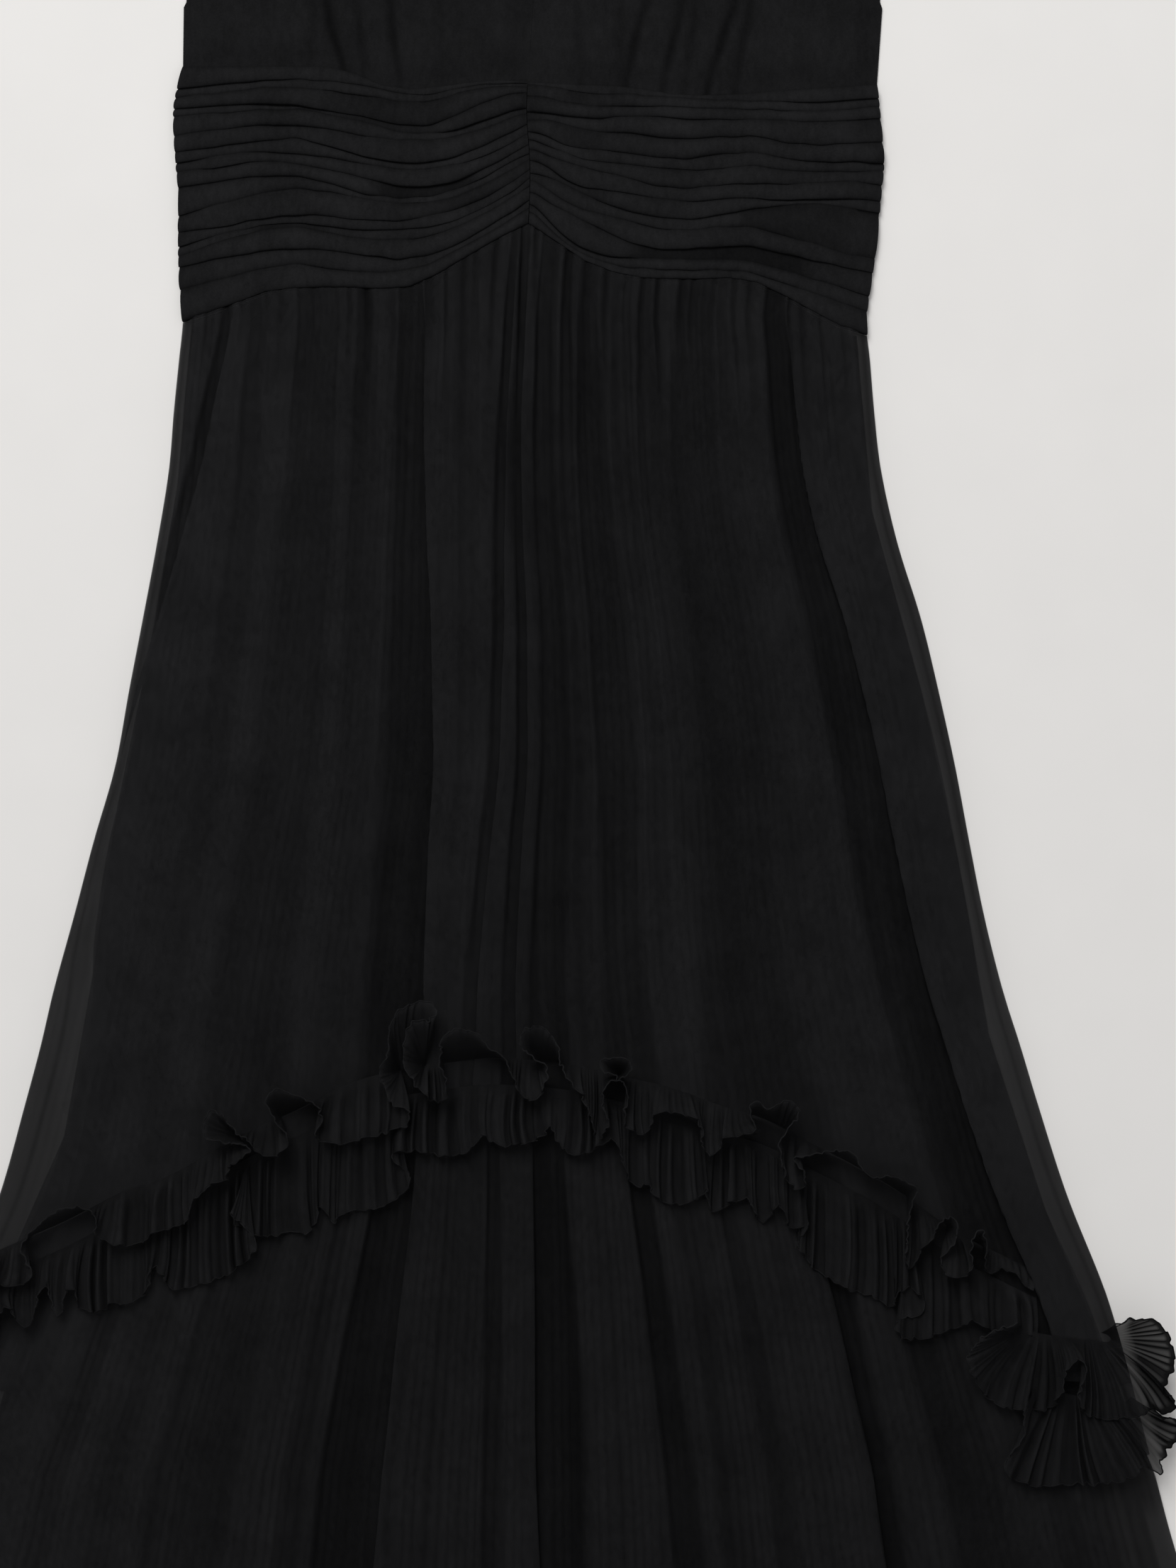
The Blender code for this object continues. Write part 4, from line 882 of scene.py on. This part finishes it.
def lining(look):
    """The slip, front and back in one closed shape with rounded side edges."""
    rows, columns = 60, 90
    u, v = np.meshgrid(np.linspace(-1, 1, columns), np.linspace(0, 1, rows))
    y = mix(band_bottom(u) - SEAM - 0.8, LINING_HEM, v)
    inset = mix(LINING_INSET_TOP, LINING_INSET_HEM, smooth((60 - y) / 300))
    x = across(u, y, inset)
    rim = np.sqrt(np.clip(1 - u**8, 0, 1))
    middle = LINING_LOW + LINING_THICKNESS / 2
    ripple = 0.12 * wander(31, u * 12, y / 60)
    front = middle + (LINING_THICKNESS / 2 - 0.15 + ripple) * rim
    back = middle - (LINING_THICKNESS / 2 - 0.05) * rim
    grids = [
        (np.stack([x, y, front], axis=-1), 1.0),
        (np.stack([x, y, back], axis=-1)[:, ::-1], 1.0),
    ]
    return cloth_piece("lining", grids, look.cloth("lining"), ["lining"])


# Frills


def curve_through(points, step):
    """Points at an even step on a smooth curve through control points, and each one's control place."""
    count = len(points)
    padded = np.concatenate([2 * points[:1] - points[1:2], points, 2 * points[-1:] - points[-2:-1]])
    place = np.linspace(0, count - 1, 40 * count)
    i = np.minimum(place.astype(int), count - 2)
    t = (place - i)[:, None]
    a, b, c, d = (padded[i + k] for k in range(4))
    fine = 0.5 * (2 * b + (c - a) * t + (2 * a - 5 * b + 4 * c - d) * t**2 + (3 * b - a - 3 * c + d) * t**3)
    run = np.concatenate([[0], np.cumsum(np.linalg.norm(np.diff(fine, axis=0), axis=1))])
    even = np.arange(0, run[-1], step)
    return np.stack([np.interp(even, run, fine[:, k]) for k in (0, 1)], axis=-1), np.interp(even, run, place)


def evened(values, reach):
    """Values averaged over a reach on each side, held at both ends."""
    weights = np.exp(-0.5 * (np.linspace(-2.5, 2.5, 2 * reach + 1)) ** 2)
    before = 2 * values[0] - values[reach:0:-1]
    after = 2 * values[-1] - values[-2 : -reach - 2 : -1]
    padded = np.concatenate([before, values, after])
    return np.convolve(padded, weights / weights.sum(), mode="valid")


def run_along_seam(edge, seam):
    """Where each point of a free edge is sewn: on the seam, moving on evenly under the edge's loops."""
    x = np.maximum.accumulate(evened(edge[:, 0], FRILL_EVEN))
    return np.stack([x, seam(x)], axis=-1)


def frill(edge, root, stand, lift, seed, rows=14):
    """A gathered strip from its seam to its free edge, which both run from left to right in plan.

    Where the free edge runs on evenly, the strip hangs as a fan. Where it turns up or back, the strip stands
    or flips over in a loop, with a pocket inside that is painted dark as shade.
    """
    out = edge - root
    reach = np.clip(np.linalg.norm(out, axis=1) / FRILL_DEPTH, 0, 1)
    run = np.arange(len(edge)) * FRILL_STEP
    heading = np.gradient(edge, axis=0)
    heading = heading[:, 0] / np.maximum(np.linalg.norm(heading, axis=1), 1e-9)
    # 1 where the free edge runs on to the right below its seam, and 0 where it turns back or is above it
    hanging = smooth((evened(heading, FRILL_TURN) - 0.15) / 0.6) * smooth((-out[:, 1] - 4) / 12)
    tall = FRILL_DEPTH * WAVE_FLATTEN * np.sqrt(1 - reach**2) * stand + FRILL_RISE * mix(1, 0.7, hanging)
    tall = tall + 0.8 * wander(seed, run / 17)
    base = np.maximum(over_front_base(root[:, 0], root[:, 1]), over_front_base(edge[:, 0], edge[:, 1]) * 0.9)
    base = base + FRILL_ROOT - WALL + lift
    t = np.linspace(0, 1, rows)[:, None]
    side = np.stack([-out[:, 1], out[:, 0]], axis=-1) / FRILL_DEPTH
    bend = 2.2 * np.sin(math.pi * t) * wander(seed + 5, run / 31)
    plan = root + out * (t + 0.10 * np.sin(math.pi * t))[..., None] + side * bend[..., None]
    crumple = np.stack([wander(seed + 7, run / 2.6), wander(seed + 8, run / 2.6)], axis=-1)
    plan = plan + FRILL_CRUMPLE * (t**2)[..., None] * crumple
    height = base + tall * np.sin(t * math.pi / 2) ** 0.9 + 0.5 * t * wander(seed + 9, run / 3)
    grid = np.concatenate([plan, height[..., None]], axis=-1)
    broad = np.sin(2 * math.pi * (run / FRILL_FOLD + 0.9 * wander(seed + 1, run / 16)))
    narrow = abs(np.sin(math.pi * (run / FRILL_PLEAT + 0.8 * wander(seed + 2, run / 11)))) ** 0.7 - 0.55
    broad = broad * (0.75 + 0.5 * wander(seed + 3, run / 12))
    narrow = narrow * (0.8 + 0.6 * wander(seed + 4, run / 9))
    spread = mix(np.linalg.norm(np.gradient(root, axis=0), axis=1) / FRILL_STEP, 1.0, t)
    spread = np.clip(spread, 0.25, 1) * smooth(t / 0.25)
    grid = pushed(grid, (FRILL_FOLD_DEPTH * broad * hanging + FRILL_PLEAT_DEPTH * narrow) * spread)
    # Painted shade: a fan's folds and pleats are painted lighter and darker as the light falls on them. A
    # loop is painted dark inside, up to a painted highlight on its edge.
    fan = 0.33 + 0.10 * t + (0.22 * broad + 0.26 * narrow) * smooth(t / 0.2)
    loop = FRILL_SHADE + 0.12 * smooth(t / 0.9) + 0.40 * smooth((t - 0.86) / 0.14) + 0.08 * narrow
    beside = smooth((grid[..., 0] - across(1, grid[..., 1])) / 6)
    # Beside the skirts only the board is behind a strip, and its rolled rim and pleats stop the most light,
    # with the pleats' painted shade stronger there
    fold = mix(loop, fan, hanging) + (0.35 * narrow - 0.30) * beside
    fold = mix(fold, 0.03, beside * smooth((t - 0.84) / 0.06))
    # Painted highlight on the rolled edge, except where it lies over the board
    rim = mix(mix(0.52, 0.40, hanging), 0.03, beside[-1])
    return grid, np.clip(fold, 0, 1), np.clip(rim, 0, 1)


def front_frills(look):
    """Each front frill and its rolled edge. One run goes along the hem and one along the right fold."""
    made = []
    for name, drop, stand, main_edge, panel_edge, panel_root, seed in (
        ("frill_lower_front", FRONT_DROP, 0.5, LOWER_EDGE, PANEL_LOWER_EDGE, PANEL_LOWER_ROOT, 401),
        ("frill_upper_front", 0, 1.0, UPPER_EDGE, PANEL_UPPER_EDGE, PANEL_UPPER_ROOT, 501),
    ):
        edge, _ = curve_through(np.array(main_edge, float), FRILL_STEP)
        root = run_along_seam(edge, lambda x: along(MAIN_SEAM, 1, x) - drop)
        under = smooth((root[:, 0] - UNDER_PANEL_X) / UNDER_PANEL_EASE)
        runs = [frill(edge, root, stand * (1 - 0.9 * under), -UNDER_PANEL_DROP * under, seed)]
        edge, place = curve_through(np.array(panel_edge, float), FRILL_STEP)
        root = np.array(panel_root, float)
        spots = place * (len(root) - 1) / (len(panel_edge) - 1)
        root = np.stack([np.interp(spots, np.arange(len(root)), root[:, k]) for k in (0, 1)], axis=-1)
        runs.append(frill(edge, root, stand, PANEL_LIFT, seed + 50))
        # Painted light on the hem's run where it goes under the right fold
        lighter = (UNDER_PANEL_LIGHT * under, 0)
        strips = [(run[0], np.clip(run[1] + more, 0, 1)) for run, more in zip(runs, lighter)]
        piece = cloth_piece(name, strips, look.cloth("frill"), [name])
        rolled = [(tube(grid[-1], ROLL_RADIUS, 5), rim) for grid, _, rim in runs]
        trim = cloth_piece(name + "_edge", rolled, look.cloth("edge"))
        made.append((piece, trim))
    return made


# Waistband


def band_front_low(x, y):
    """The underside of the band's front, which rises over the skirts' gathers towards its lower edge."""
    u = u_at(x, y)
    down = (band_top(u) - y) / (band_top(u) - band_bottom(u))
    return WALL + SEAM + BAND_FILL * down * smooth(from_edge(x, y) / 22)


# One crosswise pleat from its root down to its rolled edge and back under: share of its depth, extra
# millimetres down, share of its height, share of its light
PLEAT_SHAPE = [
    (0.00, -1.2, 0.12, 0.10),
    (0.08, 0.0, 0.34, 0.42),
    (0.20, 0.0, 0.66, 0.72),
    (0.38, 0.0, 0.90, 0.95),
    (0.58, 0.0, 1.00, 1.00),
    (0.76, 0.0, 0.96, 0.92),
    (0.90, 0.0, 0.80, 0.72),
    (0.98, 0.0, 0.58, 0.48),
    (1.00, 0.1, 0.34, 0.25),
]


def band_front(name, side, stations, pleats, gaps, look):
    """One half of the band's front: its crosswise pleats, caught together at the centre seam."""
    steps = 240
    out = np.linspace(0.0008, 1, steps)
    u = side * out
    if side < 0:
        out, u = out[::-1], u[::-1]
    level = across(u, BAND_LEVEL)
    edges = []
    for n, row in enumerate(pleats):
        edges.append(evened(np.interp(level, stations, row), 8) + 0.4 * wander(611, level / 9, n * 2.3))
    edges.append(band_bottom(u))
    rows, folds = [], []
    before = band_top(u)
    for n, edge in enumerate(edges):
        edge = np.minimum(edge, before - PLEAT_LEAST)
        depth = before - edge
        high = np.clip(BAND_PLEAT_SHARE * depth, PLEAT_LOWEST, PLEAT_HIGHEST)
        high = high * (1 + 0.4 * wander(621 + side, u * 6, n * 5.1))
        if n == len(edges) - 1:
            high = high + LAST_PLEAT
        crisp = np.clip(0.6 + 0.5 * wander(651 + side, u * 7, n * 3.3), 0.2, 1)
        gap = np.zeros(steps)
        for pleat, low_x, high_x, deep in gaps:
            if pleat == n:
                opens = smooth((level - low_x) / GAP_EASE + 0.5)
                gap = deep * opens * smooth((high_x - level) / GAP_EASE + 0.5)
        for share, extra, lift, light in PLEAT_SHAPE:
            # The first pleat's root has no pleat above it to go under
            tuck = extra * crisp if n or share else 0.0
            y = mix(before, edge, share) - tuck
            raised = mix(0.85, lift, crisp)
            x = across(u, y) + side * 1.1 * (raised - 0.6) * smooth((out - 0.95) / 0.05)
            low = band_front_low(across(u, y), y)
            rim = mix(0.7, 1, smooth((1 - out) / 0.02)) * mix(0.45, 1, smooth(out / 0.02))
            z = low + PLEAT_FOOT + high * raised * rim * (1 - 0.7 * gap)
            rows.append(np.stack([x, y, z], axis=-1))
            # Painted shade across each pleat from its share of light, deeper in the gaps, with tone that
            # wanders at random and darker along the centre seam
            shade = 0.12 + 0.43 * mix(0.8, light, mix(0.35, 0.9, crisp))
            shade = shade + 0.06 * wander(641 + side, u * 14, n * 2.9)
            shade = shade - 0.10 * np.exp(-((out / 0.03) ** 2))
            folds.append(np.clip(shade * (1 - 0.65 * gap), 0, 1))
        before = edge
    grid = np.stack(rows, axis=0)
    return cloth_piece(name, [(grid, np.stack(folds, axis=0))], look.cloth("band"), [name])


# Bodice


def bodice_sections(t):
    """The bodice's sections down from the shoulder at t 0 to the band at t 1.

    Gives the inner and the outer x and y, the place among the sections, which is below 0 in the strip next to
    the band, and how far up that strip it is.
    """
    last = len(BODICE_SECTIONS) - 1
    place = (last + BODICE_FOOT) * (1 - t) - BODICE_FOOT
    section = np.clip(place, 0, last)
    inner_y, inner_x, outer_y, outer_x = (
        np.interp(section, np.arange(last + 1), BODICE_SECTIONS[:, k]) for k in range(4)
    )
    return inner_x, inner_y, outer_x, outer_y, place, np.clip(1 + place / BODICE_FOOT, 0, 1)


def bodice_front(name, side, gathers, look):
    """One half of the bodice's front, gathered into the band and eased over the bust."""
    rows, columns = 150, 170
    share, t = np.meshgrid(np.linspace(0, 1, columns), np.linspace(0, 1, rows))
    if side < 0:
        share = share[:, ::-1]
    u = side * share
    foot = band_top(u)
    inner_x, inner_y, outer_x, outer_y, place, up = bodice_sections(t)
    x = side * mix(np.maximum(inner_x, SEAM / 2), outer_x, share)
    y = mix(inner_y, outer_y, share)
    y = np.where(place < 0, mix(foot - BODICE_TUCK, BODICE_SECTIONS[0, 0], up), y)
    x = np.where(place < 0, mix(across(u, foot), side * mix(SEAM / 2, BODICE_HALF, share), up), x)
    seam_ease = smooth(share / 0.08) * smooth((1 - share) / 0.08)
    dent = np.zeros_like(x)
    height = y - band_top(0)
    fade = 1 - smooth(height / (GATHER_END_Y - band_top(0)))
    for centre, lean, depth in gathers:
        middle = centre + lean * height / GATHER_LEAN_HEIGHT + wander(711 + int(centre), height / 25)
        crease = np.exp(-(((x - middle) / GATHER_WIDTH) ** 2)) * (0.75 + 0.5 * wander(720, y / 18))
        dent += 0.7 * depth * fade * crease
    away = np.hypot(abs(x) - BUST_X, y - BUST_Y) / BUST_REACH
    puff = BUST_PUFF * smooth(1 - away)
    ease = np.maximum(BODICE_EASE * seam_ease - dent, 0) * smooth((y - foot + 1) / 16)
    soft = 0.25 * wander(701, x / 16, y / 40)
    z = CLOTH_ON_BACK + (WALL + 0.6 + puff + soft) * seam_ease + ease
    weave = wander(705, x / 9, y / 22)
    # Painted shade in the gathers' creases, with tone that wanders at random
    fold = np.clip(0.44 + 0.05 * weave - 0.36 * np.clip(dent / 1.6, 0, 1), 0, 1)
    grid = np.stack([x, y, z], axis=-1)
    return cloth_piece(name, [(grid, fold)], look.cloth("bodice"), [name])


def bodice_back(look):
    """The bodice's back, one plain panel with a round neck."""
    rows, columns = 60, 120
    u, t = np.meshgrid(np.linspace(-1, 1, columns), np.linspace(0, 1, rows))
    _, _, outer_x, outer_y, place, up = bodice_sections(t)
    strap = BODICE_SECTIONS[-1, 1]
    scoop = TOP - BACK_NECK_DROP * np.sqrt(np.clip(1 - (u * outer_x / strap) ** 2, 0, 1))
    y = np.where(place < 0, mix(band_top(u) + SEAM, outer_y, up), outer_y)
    y = np.minimum(y + (scoop - TOP) * smooth((y - BACK_NECK_FROM) / (TOP - BACK_NECK_FROM)), scoop)
    x = np.where(place < 0, mix(across(u, band_top(u)), u * BODICE_SECTIONS[0, 3], up), u * outer_x)
    z = 0.5 + 0.2 * wander(711, x / 20, y / 30)
    grid = np.stack([x, y, z], axis=-1)
    return cloth_piece("bodice_back", [(grid, 0.35)], look.cloth("bodice"), ["bodice_back"])


# Settings


def colour_setting(name, description, shade):
    return bpy.props.FloatVectorProperty(
        name=name, description=description, subtype="COLOR", size=3, min=0.0, max=1.0, default=linear(shade)
    )


def opacity_setting(name, description, share):
    return bpy.props.FloatProperty(
        name=name, description=description, subtype="FACTOR", default=share, min=0.05, max=1.0
    )


class ClothSettings(bpy.types.PropertyGroup):
    """What a user would change in the dress's cloth."""

    pleat_count: bpy.props.IntProperty(
        name="Fine pleats",
        description="Number of heat-set pleats across the over-skirt's front",
        default=104,
        min=20,
        max=200,
    )
    pleat_depth: bpy.props.FloatProperty(
        name="Pleat depth",
        description="Depth of the heat-set pleats, in millimetres",
        default=0.3,
        min=0.0,
        max=1.0,
    )
    black: colour_setting("Black", "Colour of the chiffon where the most light falls on it", "222223")
    lining_black: colour_setting("Lining black", "Colour of the satin slip", "0D0D0E")
    skirt_opacity: opacity_setting(
        "Skirt opacity", "Share of light that one layer of skirt stops where it is most sheer", 0.60
    )
    frill_opacity: opacity_setting(
        "Frill opacity", "Share of light that one layer of frill stops where it is most sheer", 0.62
    )

    def cloth(self, part):
        """The material of one part of the dress."""
        if part == "lining":
            return satin("satin_slip", tuple(self.lining_black))
        name, opacity, grain_and_crush_shade = {
            "over": ("pleated_chiffon_over_skirt", self.skirt_opacity, GRAIN_AND_CRUSH_SHADE),
            "under": ("pleated_chiffon_under_skirt", self.skirt_opacity, GRAIN_AND_CRUSH_SHADE),
            "back": ("pleated_chiffon_back", self.skirt_opacity, GRAIN_AND_CRUSH_SHADE),
            "frill": ("pleated_chiffon_frill", self.frill_opacity, GRAIN_AND_CRUSH_SHADE),
            "edge": ("overlocked_edge_thread", 1.0, GRAIN_AND_CRUSH_SHADE),
            "band": ("pleated_chiffon_waistband", 1.0, GRAIN_AND_CRUSH_SHADE),
            "bodice": ("lined_chiffon_bodice", 1.0, BODICE_GRAIN_AND_CRUSH_SHADE),
        }[part]
        return chiffon(name, tuple(self.black), opacity, grain_and_crush_shade)


class StageSettings(bpy.types.PropertyGroup):
    """What a user would change round the dress."""

    board: colour_setting("Board", "Colour of the painted board", "E3E1DE")
    lamp_power: bpy.props.FloatProperty(
        name="Lamp power",
        description="Power of the soft lamp at the upper left",
        unit="POWER",
        default=128.0,
        min=0.0,
        max=2000.0,
    )
    fill: bpy.props.FloatProperty(
        name="Fill",
        description="Strength of the even light from the room",
        default=0.45,
        min=0.0,
        max=5.0,
    )


# Operators


class DRESS_OT_lining(bpy.types.Operator):
    """Make the satin slip inside the skirts"""

    bl_idname = "dress.lining"
    bl_label = "Slip"

    def execute(self, context):
        made = lining(context.scene.dress_cloth)
        return {"FINISHED"}


class DRESS_OT_skirts(bpy.types.Operator):
    """Make the under-skirt and the over-skirt, front and back"""

    bl_idname = "dress.skirts"
    bl_label = "Skirts"

    def execute(self, context):
        look = context.scene.dress_cloth
        back = flat_panel(
            "over_skirt_back", look, lambda u: band_bottom(u) - SEAM, back_seam, no_offset, no_offset,
            look.pleat_count, 811,
        )
        under = flat_panel(
            "under_skirt_back", look, lambda u: band_bottom(u) - 2 * SEAM, hem, under_inset,
            under_back_low, look.pleat_count, 821, 500, 90,
        )
        front = under_skirt_front(look)
        over = over_skirt_front(look)
        return {"FINISHED"}


class DRESS_OT_frills(bpy.types.Operator):
    """Make the two frills on the over-skirt's hem, front and back"""

    bl_idname = "dress.frills"
    bl_label = "Frills"

    def execute(self, context):
        look = context.scene.dress_cloth

        def upper_end(u):
            return back_seam(u) - FRILL_DEPTH

        def lower_end(u):
            return back_frill_end(u) - BACK_SCALLOP * abs(np.sin(math.pi * BACK_SCALLOPS * (u + 1) / 2))

        for name, top, end, depth in (
            ("frill_upper_back", lambda u: back_seam(u) - SEAM, upper_end, 0.038),
            ("frill_lower_back", lambda u: upper_end(u) - SEAM, lower_end, 0.026),
        ):
            made = flat_panel(name, look, top, end, no_offset, no_offset, 230, 831, 1100, 8)
        for piece, edge in front_frills(look):
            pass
        return {"FINISHED"}


class DRESS_OT_band(bpy.types.Operator):
    """Make the waistband's pleated halves and its back"""

    bl_idname = "dress.band"
    bl_label = "Waistband"

    def execute(self, context):
        look = context.scene.dress_cloth
        halves = (
            ("band_front_left", -1, LEFT_STATIONS, LEFT_PLEATS, LEFT_GAPS),
            ("band_front_right", 1, RIGHT_STATIONS, RIGHT_PLEATS, RIGHT_GAPS),
        )
        for name, side, stations, pleats, gaps in halves:
            made = band_front(name, side, stations, pleats, gaps, look)
        u, v = np.meshgrid(np.linspace(-1, 1, 160), np.linspace(0, 1, 120))
        y = mix(band_top(u), band_bottom(u), v)
        ridge = abs(np.sin(math.pi * BAND_BACK_PLEATS * v))
        grid = np.stack([across(u, y), y, 0.15 + 0.6 * ridge], axis=-1)
        # Painted shade: the back's pleats lighter on their ridges, darker between them
        made = cloth_piece(
            "band_back", [(grid, 0.3 + 0.6 * ridge)], look.cloth("band"), ["band_back"]
        )
        return {"FINISHED"}


class DRESS_OT_bodice(bpy.types.Operator):
    """Make the bodice's gathered halves and its back"""

    bl_idname = "dress.bodice"
    bl_label = "Bodice"

    def execute(self, context):
        look = context.scene.dress_cloth
        for name, side, gathers in (
            ("bodice_front_left", -1, LEFT_GATHERS),
            ("bodice_front_right", 1, RIGHT_GATHERS),
        ):
            made = bodice_front(name, side, gathers, look)
        made = bodice_back(look)
        return {"FINISHED"}


class DRESS_OT_stage(bpy.types.Operator):
    """Make the board, the lights and the camera"""

    bl_idname = "dress.stage"
    bl_label = "Board, light and camera"

    def execute(self, context):
        scene = context.scene
        look = scene.dress_stage
        # The board and the lamp are placed in metres
        mesh = bpy.data.meshes.new("board")
        reach = 3.0
        corners = [(-reach, -reach, 0), (reach, -reach, 0), (reach, reach, 0), (-reach, reach, 0)]
        mesh.from_pydata(corners, [], [(0, 1, 2, 3)])
        board = bpy.data.objects.new("board", mesh)
        board.location = (0, 0, -0.0003)
        mesh.materials.append(painted_board("painted_board", tuple(look.board)))
        scene.collection.objects.link(board)
        lamp = bpy.data.lights.new("window", "AREA")
        lamp.shape = "RECTANGLE"
        lamp.size, lamp.size_y = 2.6, 2.0
        lamp.energy = look.lamp_power
        window = bpy.data.objects.new("window", lamp)
        window.location = (-0.8, 2.6, 3.0)
        aim = np.array((0.1, 0.0, 0.0)) - np.array(window.location)
        direction = aim / np.linalg.norm(aim)
        tilt = math.acos(-direction[2])
        window.rotation_euler = (0, -tilt, math.atan2(direction[1], direction[0]))
        scene.collection.objects.link(window)
        world = bpy.data.worlds.new("room")
        world.use_nodes = True
        world.node_tree.nodes["Background"].inputs["Color"].default_value = (*linear("F4F4F6"), 1)
        world.node_tree.nodes["Background"].inputs["Strength"].default_value = look.fill
        scene.world = world
        scene.view_settings.view_transform = "Standard"
        camera = bpy.data.cameras.new("camera")
        camera.sensor_fit = "VERTICAL"
        camera.sensor_height = 24
        camera.lens = camera.sensor_height / 2 / (VIEW_SPAN / 2 / (VIEW_HEIGHT - VIEW_PLANE))
        camera.clip_end = 20
        eye = bpy.data.objects.new("camera", camera)
        eye.location = (VIEW_X * MM, VIEW_Y * MM, VIEW_HEIGHT * MM)
        scene.collection.objects.link(eye)
        scene.camera = eye
        return {"FINISHED"}


class DRESS_PT_panel(bpy.types.Panel):
    """The dress's settings and the pieces in the order they are made"""

    bl_label = "Dress"
    bl_idname = "DRESS_PT_panel"
    bl_space_type = "VIEW_3D"
    bl_region_type = "UI"
    bl_category = "Dress"

    def draw(self, context):
        for group in (context.scene.dress_cloth, context.scene.dress_stage):
            box = self.layout.box()
            for name in group.__annotations__:
                box.prop(group, name)
        for operator in OPERATORS:
            self.layout.operator(operator.bl_idname)


OPERATORS = (
    DRESS_OT_lining,
    DRESS_OT_skirts,
    DRESS_OT_frills,
    DRESS_OT_band,
    DRESS_OT_bodice,
    DRESS_OT_stage,
)
CLASSES = (ClothSettings, StageSettings, *OPERATORS, DRESS_PT_panel)


def register():
    for made in CLASSES:
        bpy.utils.register_class(made)
    bpy.types.Scene.dress_cloth = bpy.props.PointerProperty(type=ClothSettings)
    bpy.types.Scene.dress_stage = bpy.props.PointerProperty(type=StageSettings)


def unregister():
    del bpy.types.Scene.dress_cloth
    del bpy.types.Scene.dress_stage
    for made in reversed(CLASSES):
        bpy.utils.unregister_class(made)


def main():
    register()
    for operator in OPERATORS:
        group, name = operator.bl_idname.split(".")
        getattr(getattr(bpy.ops, group), name)()
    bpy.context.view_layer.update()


if __name__ == "__main__":
    main()
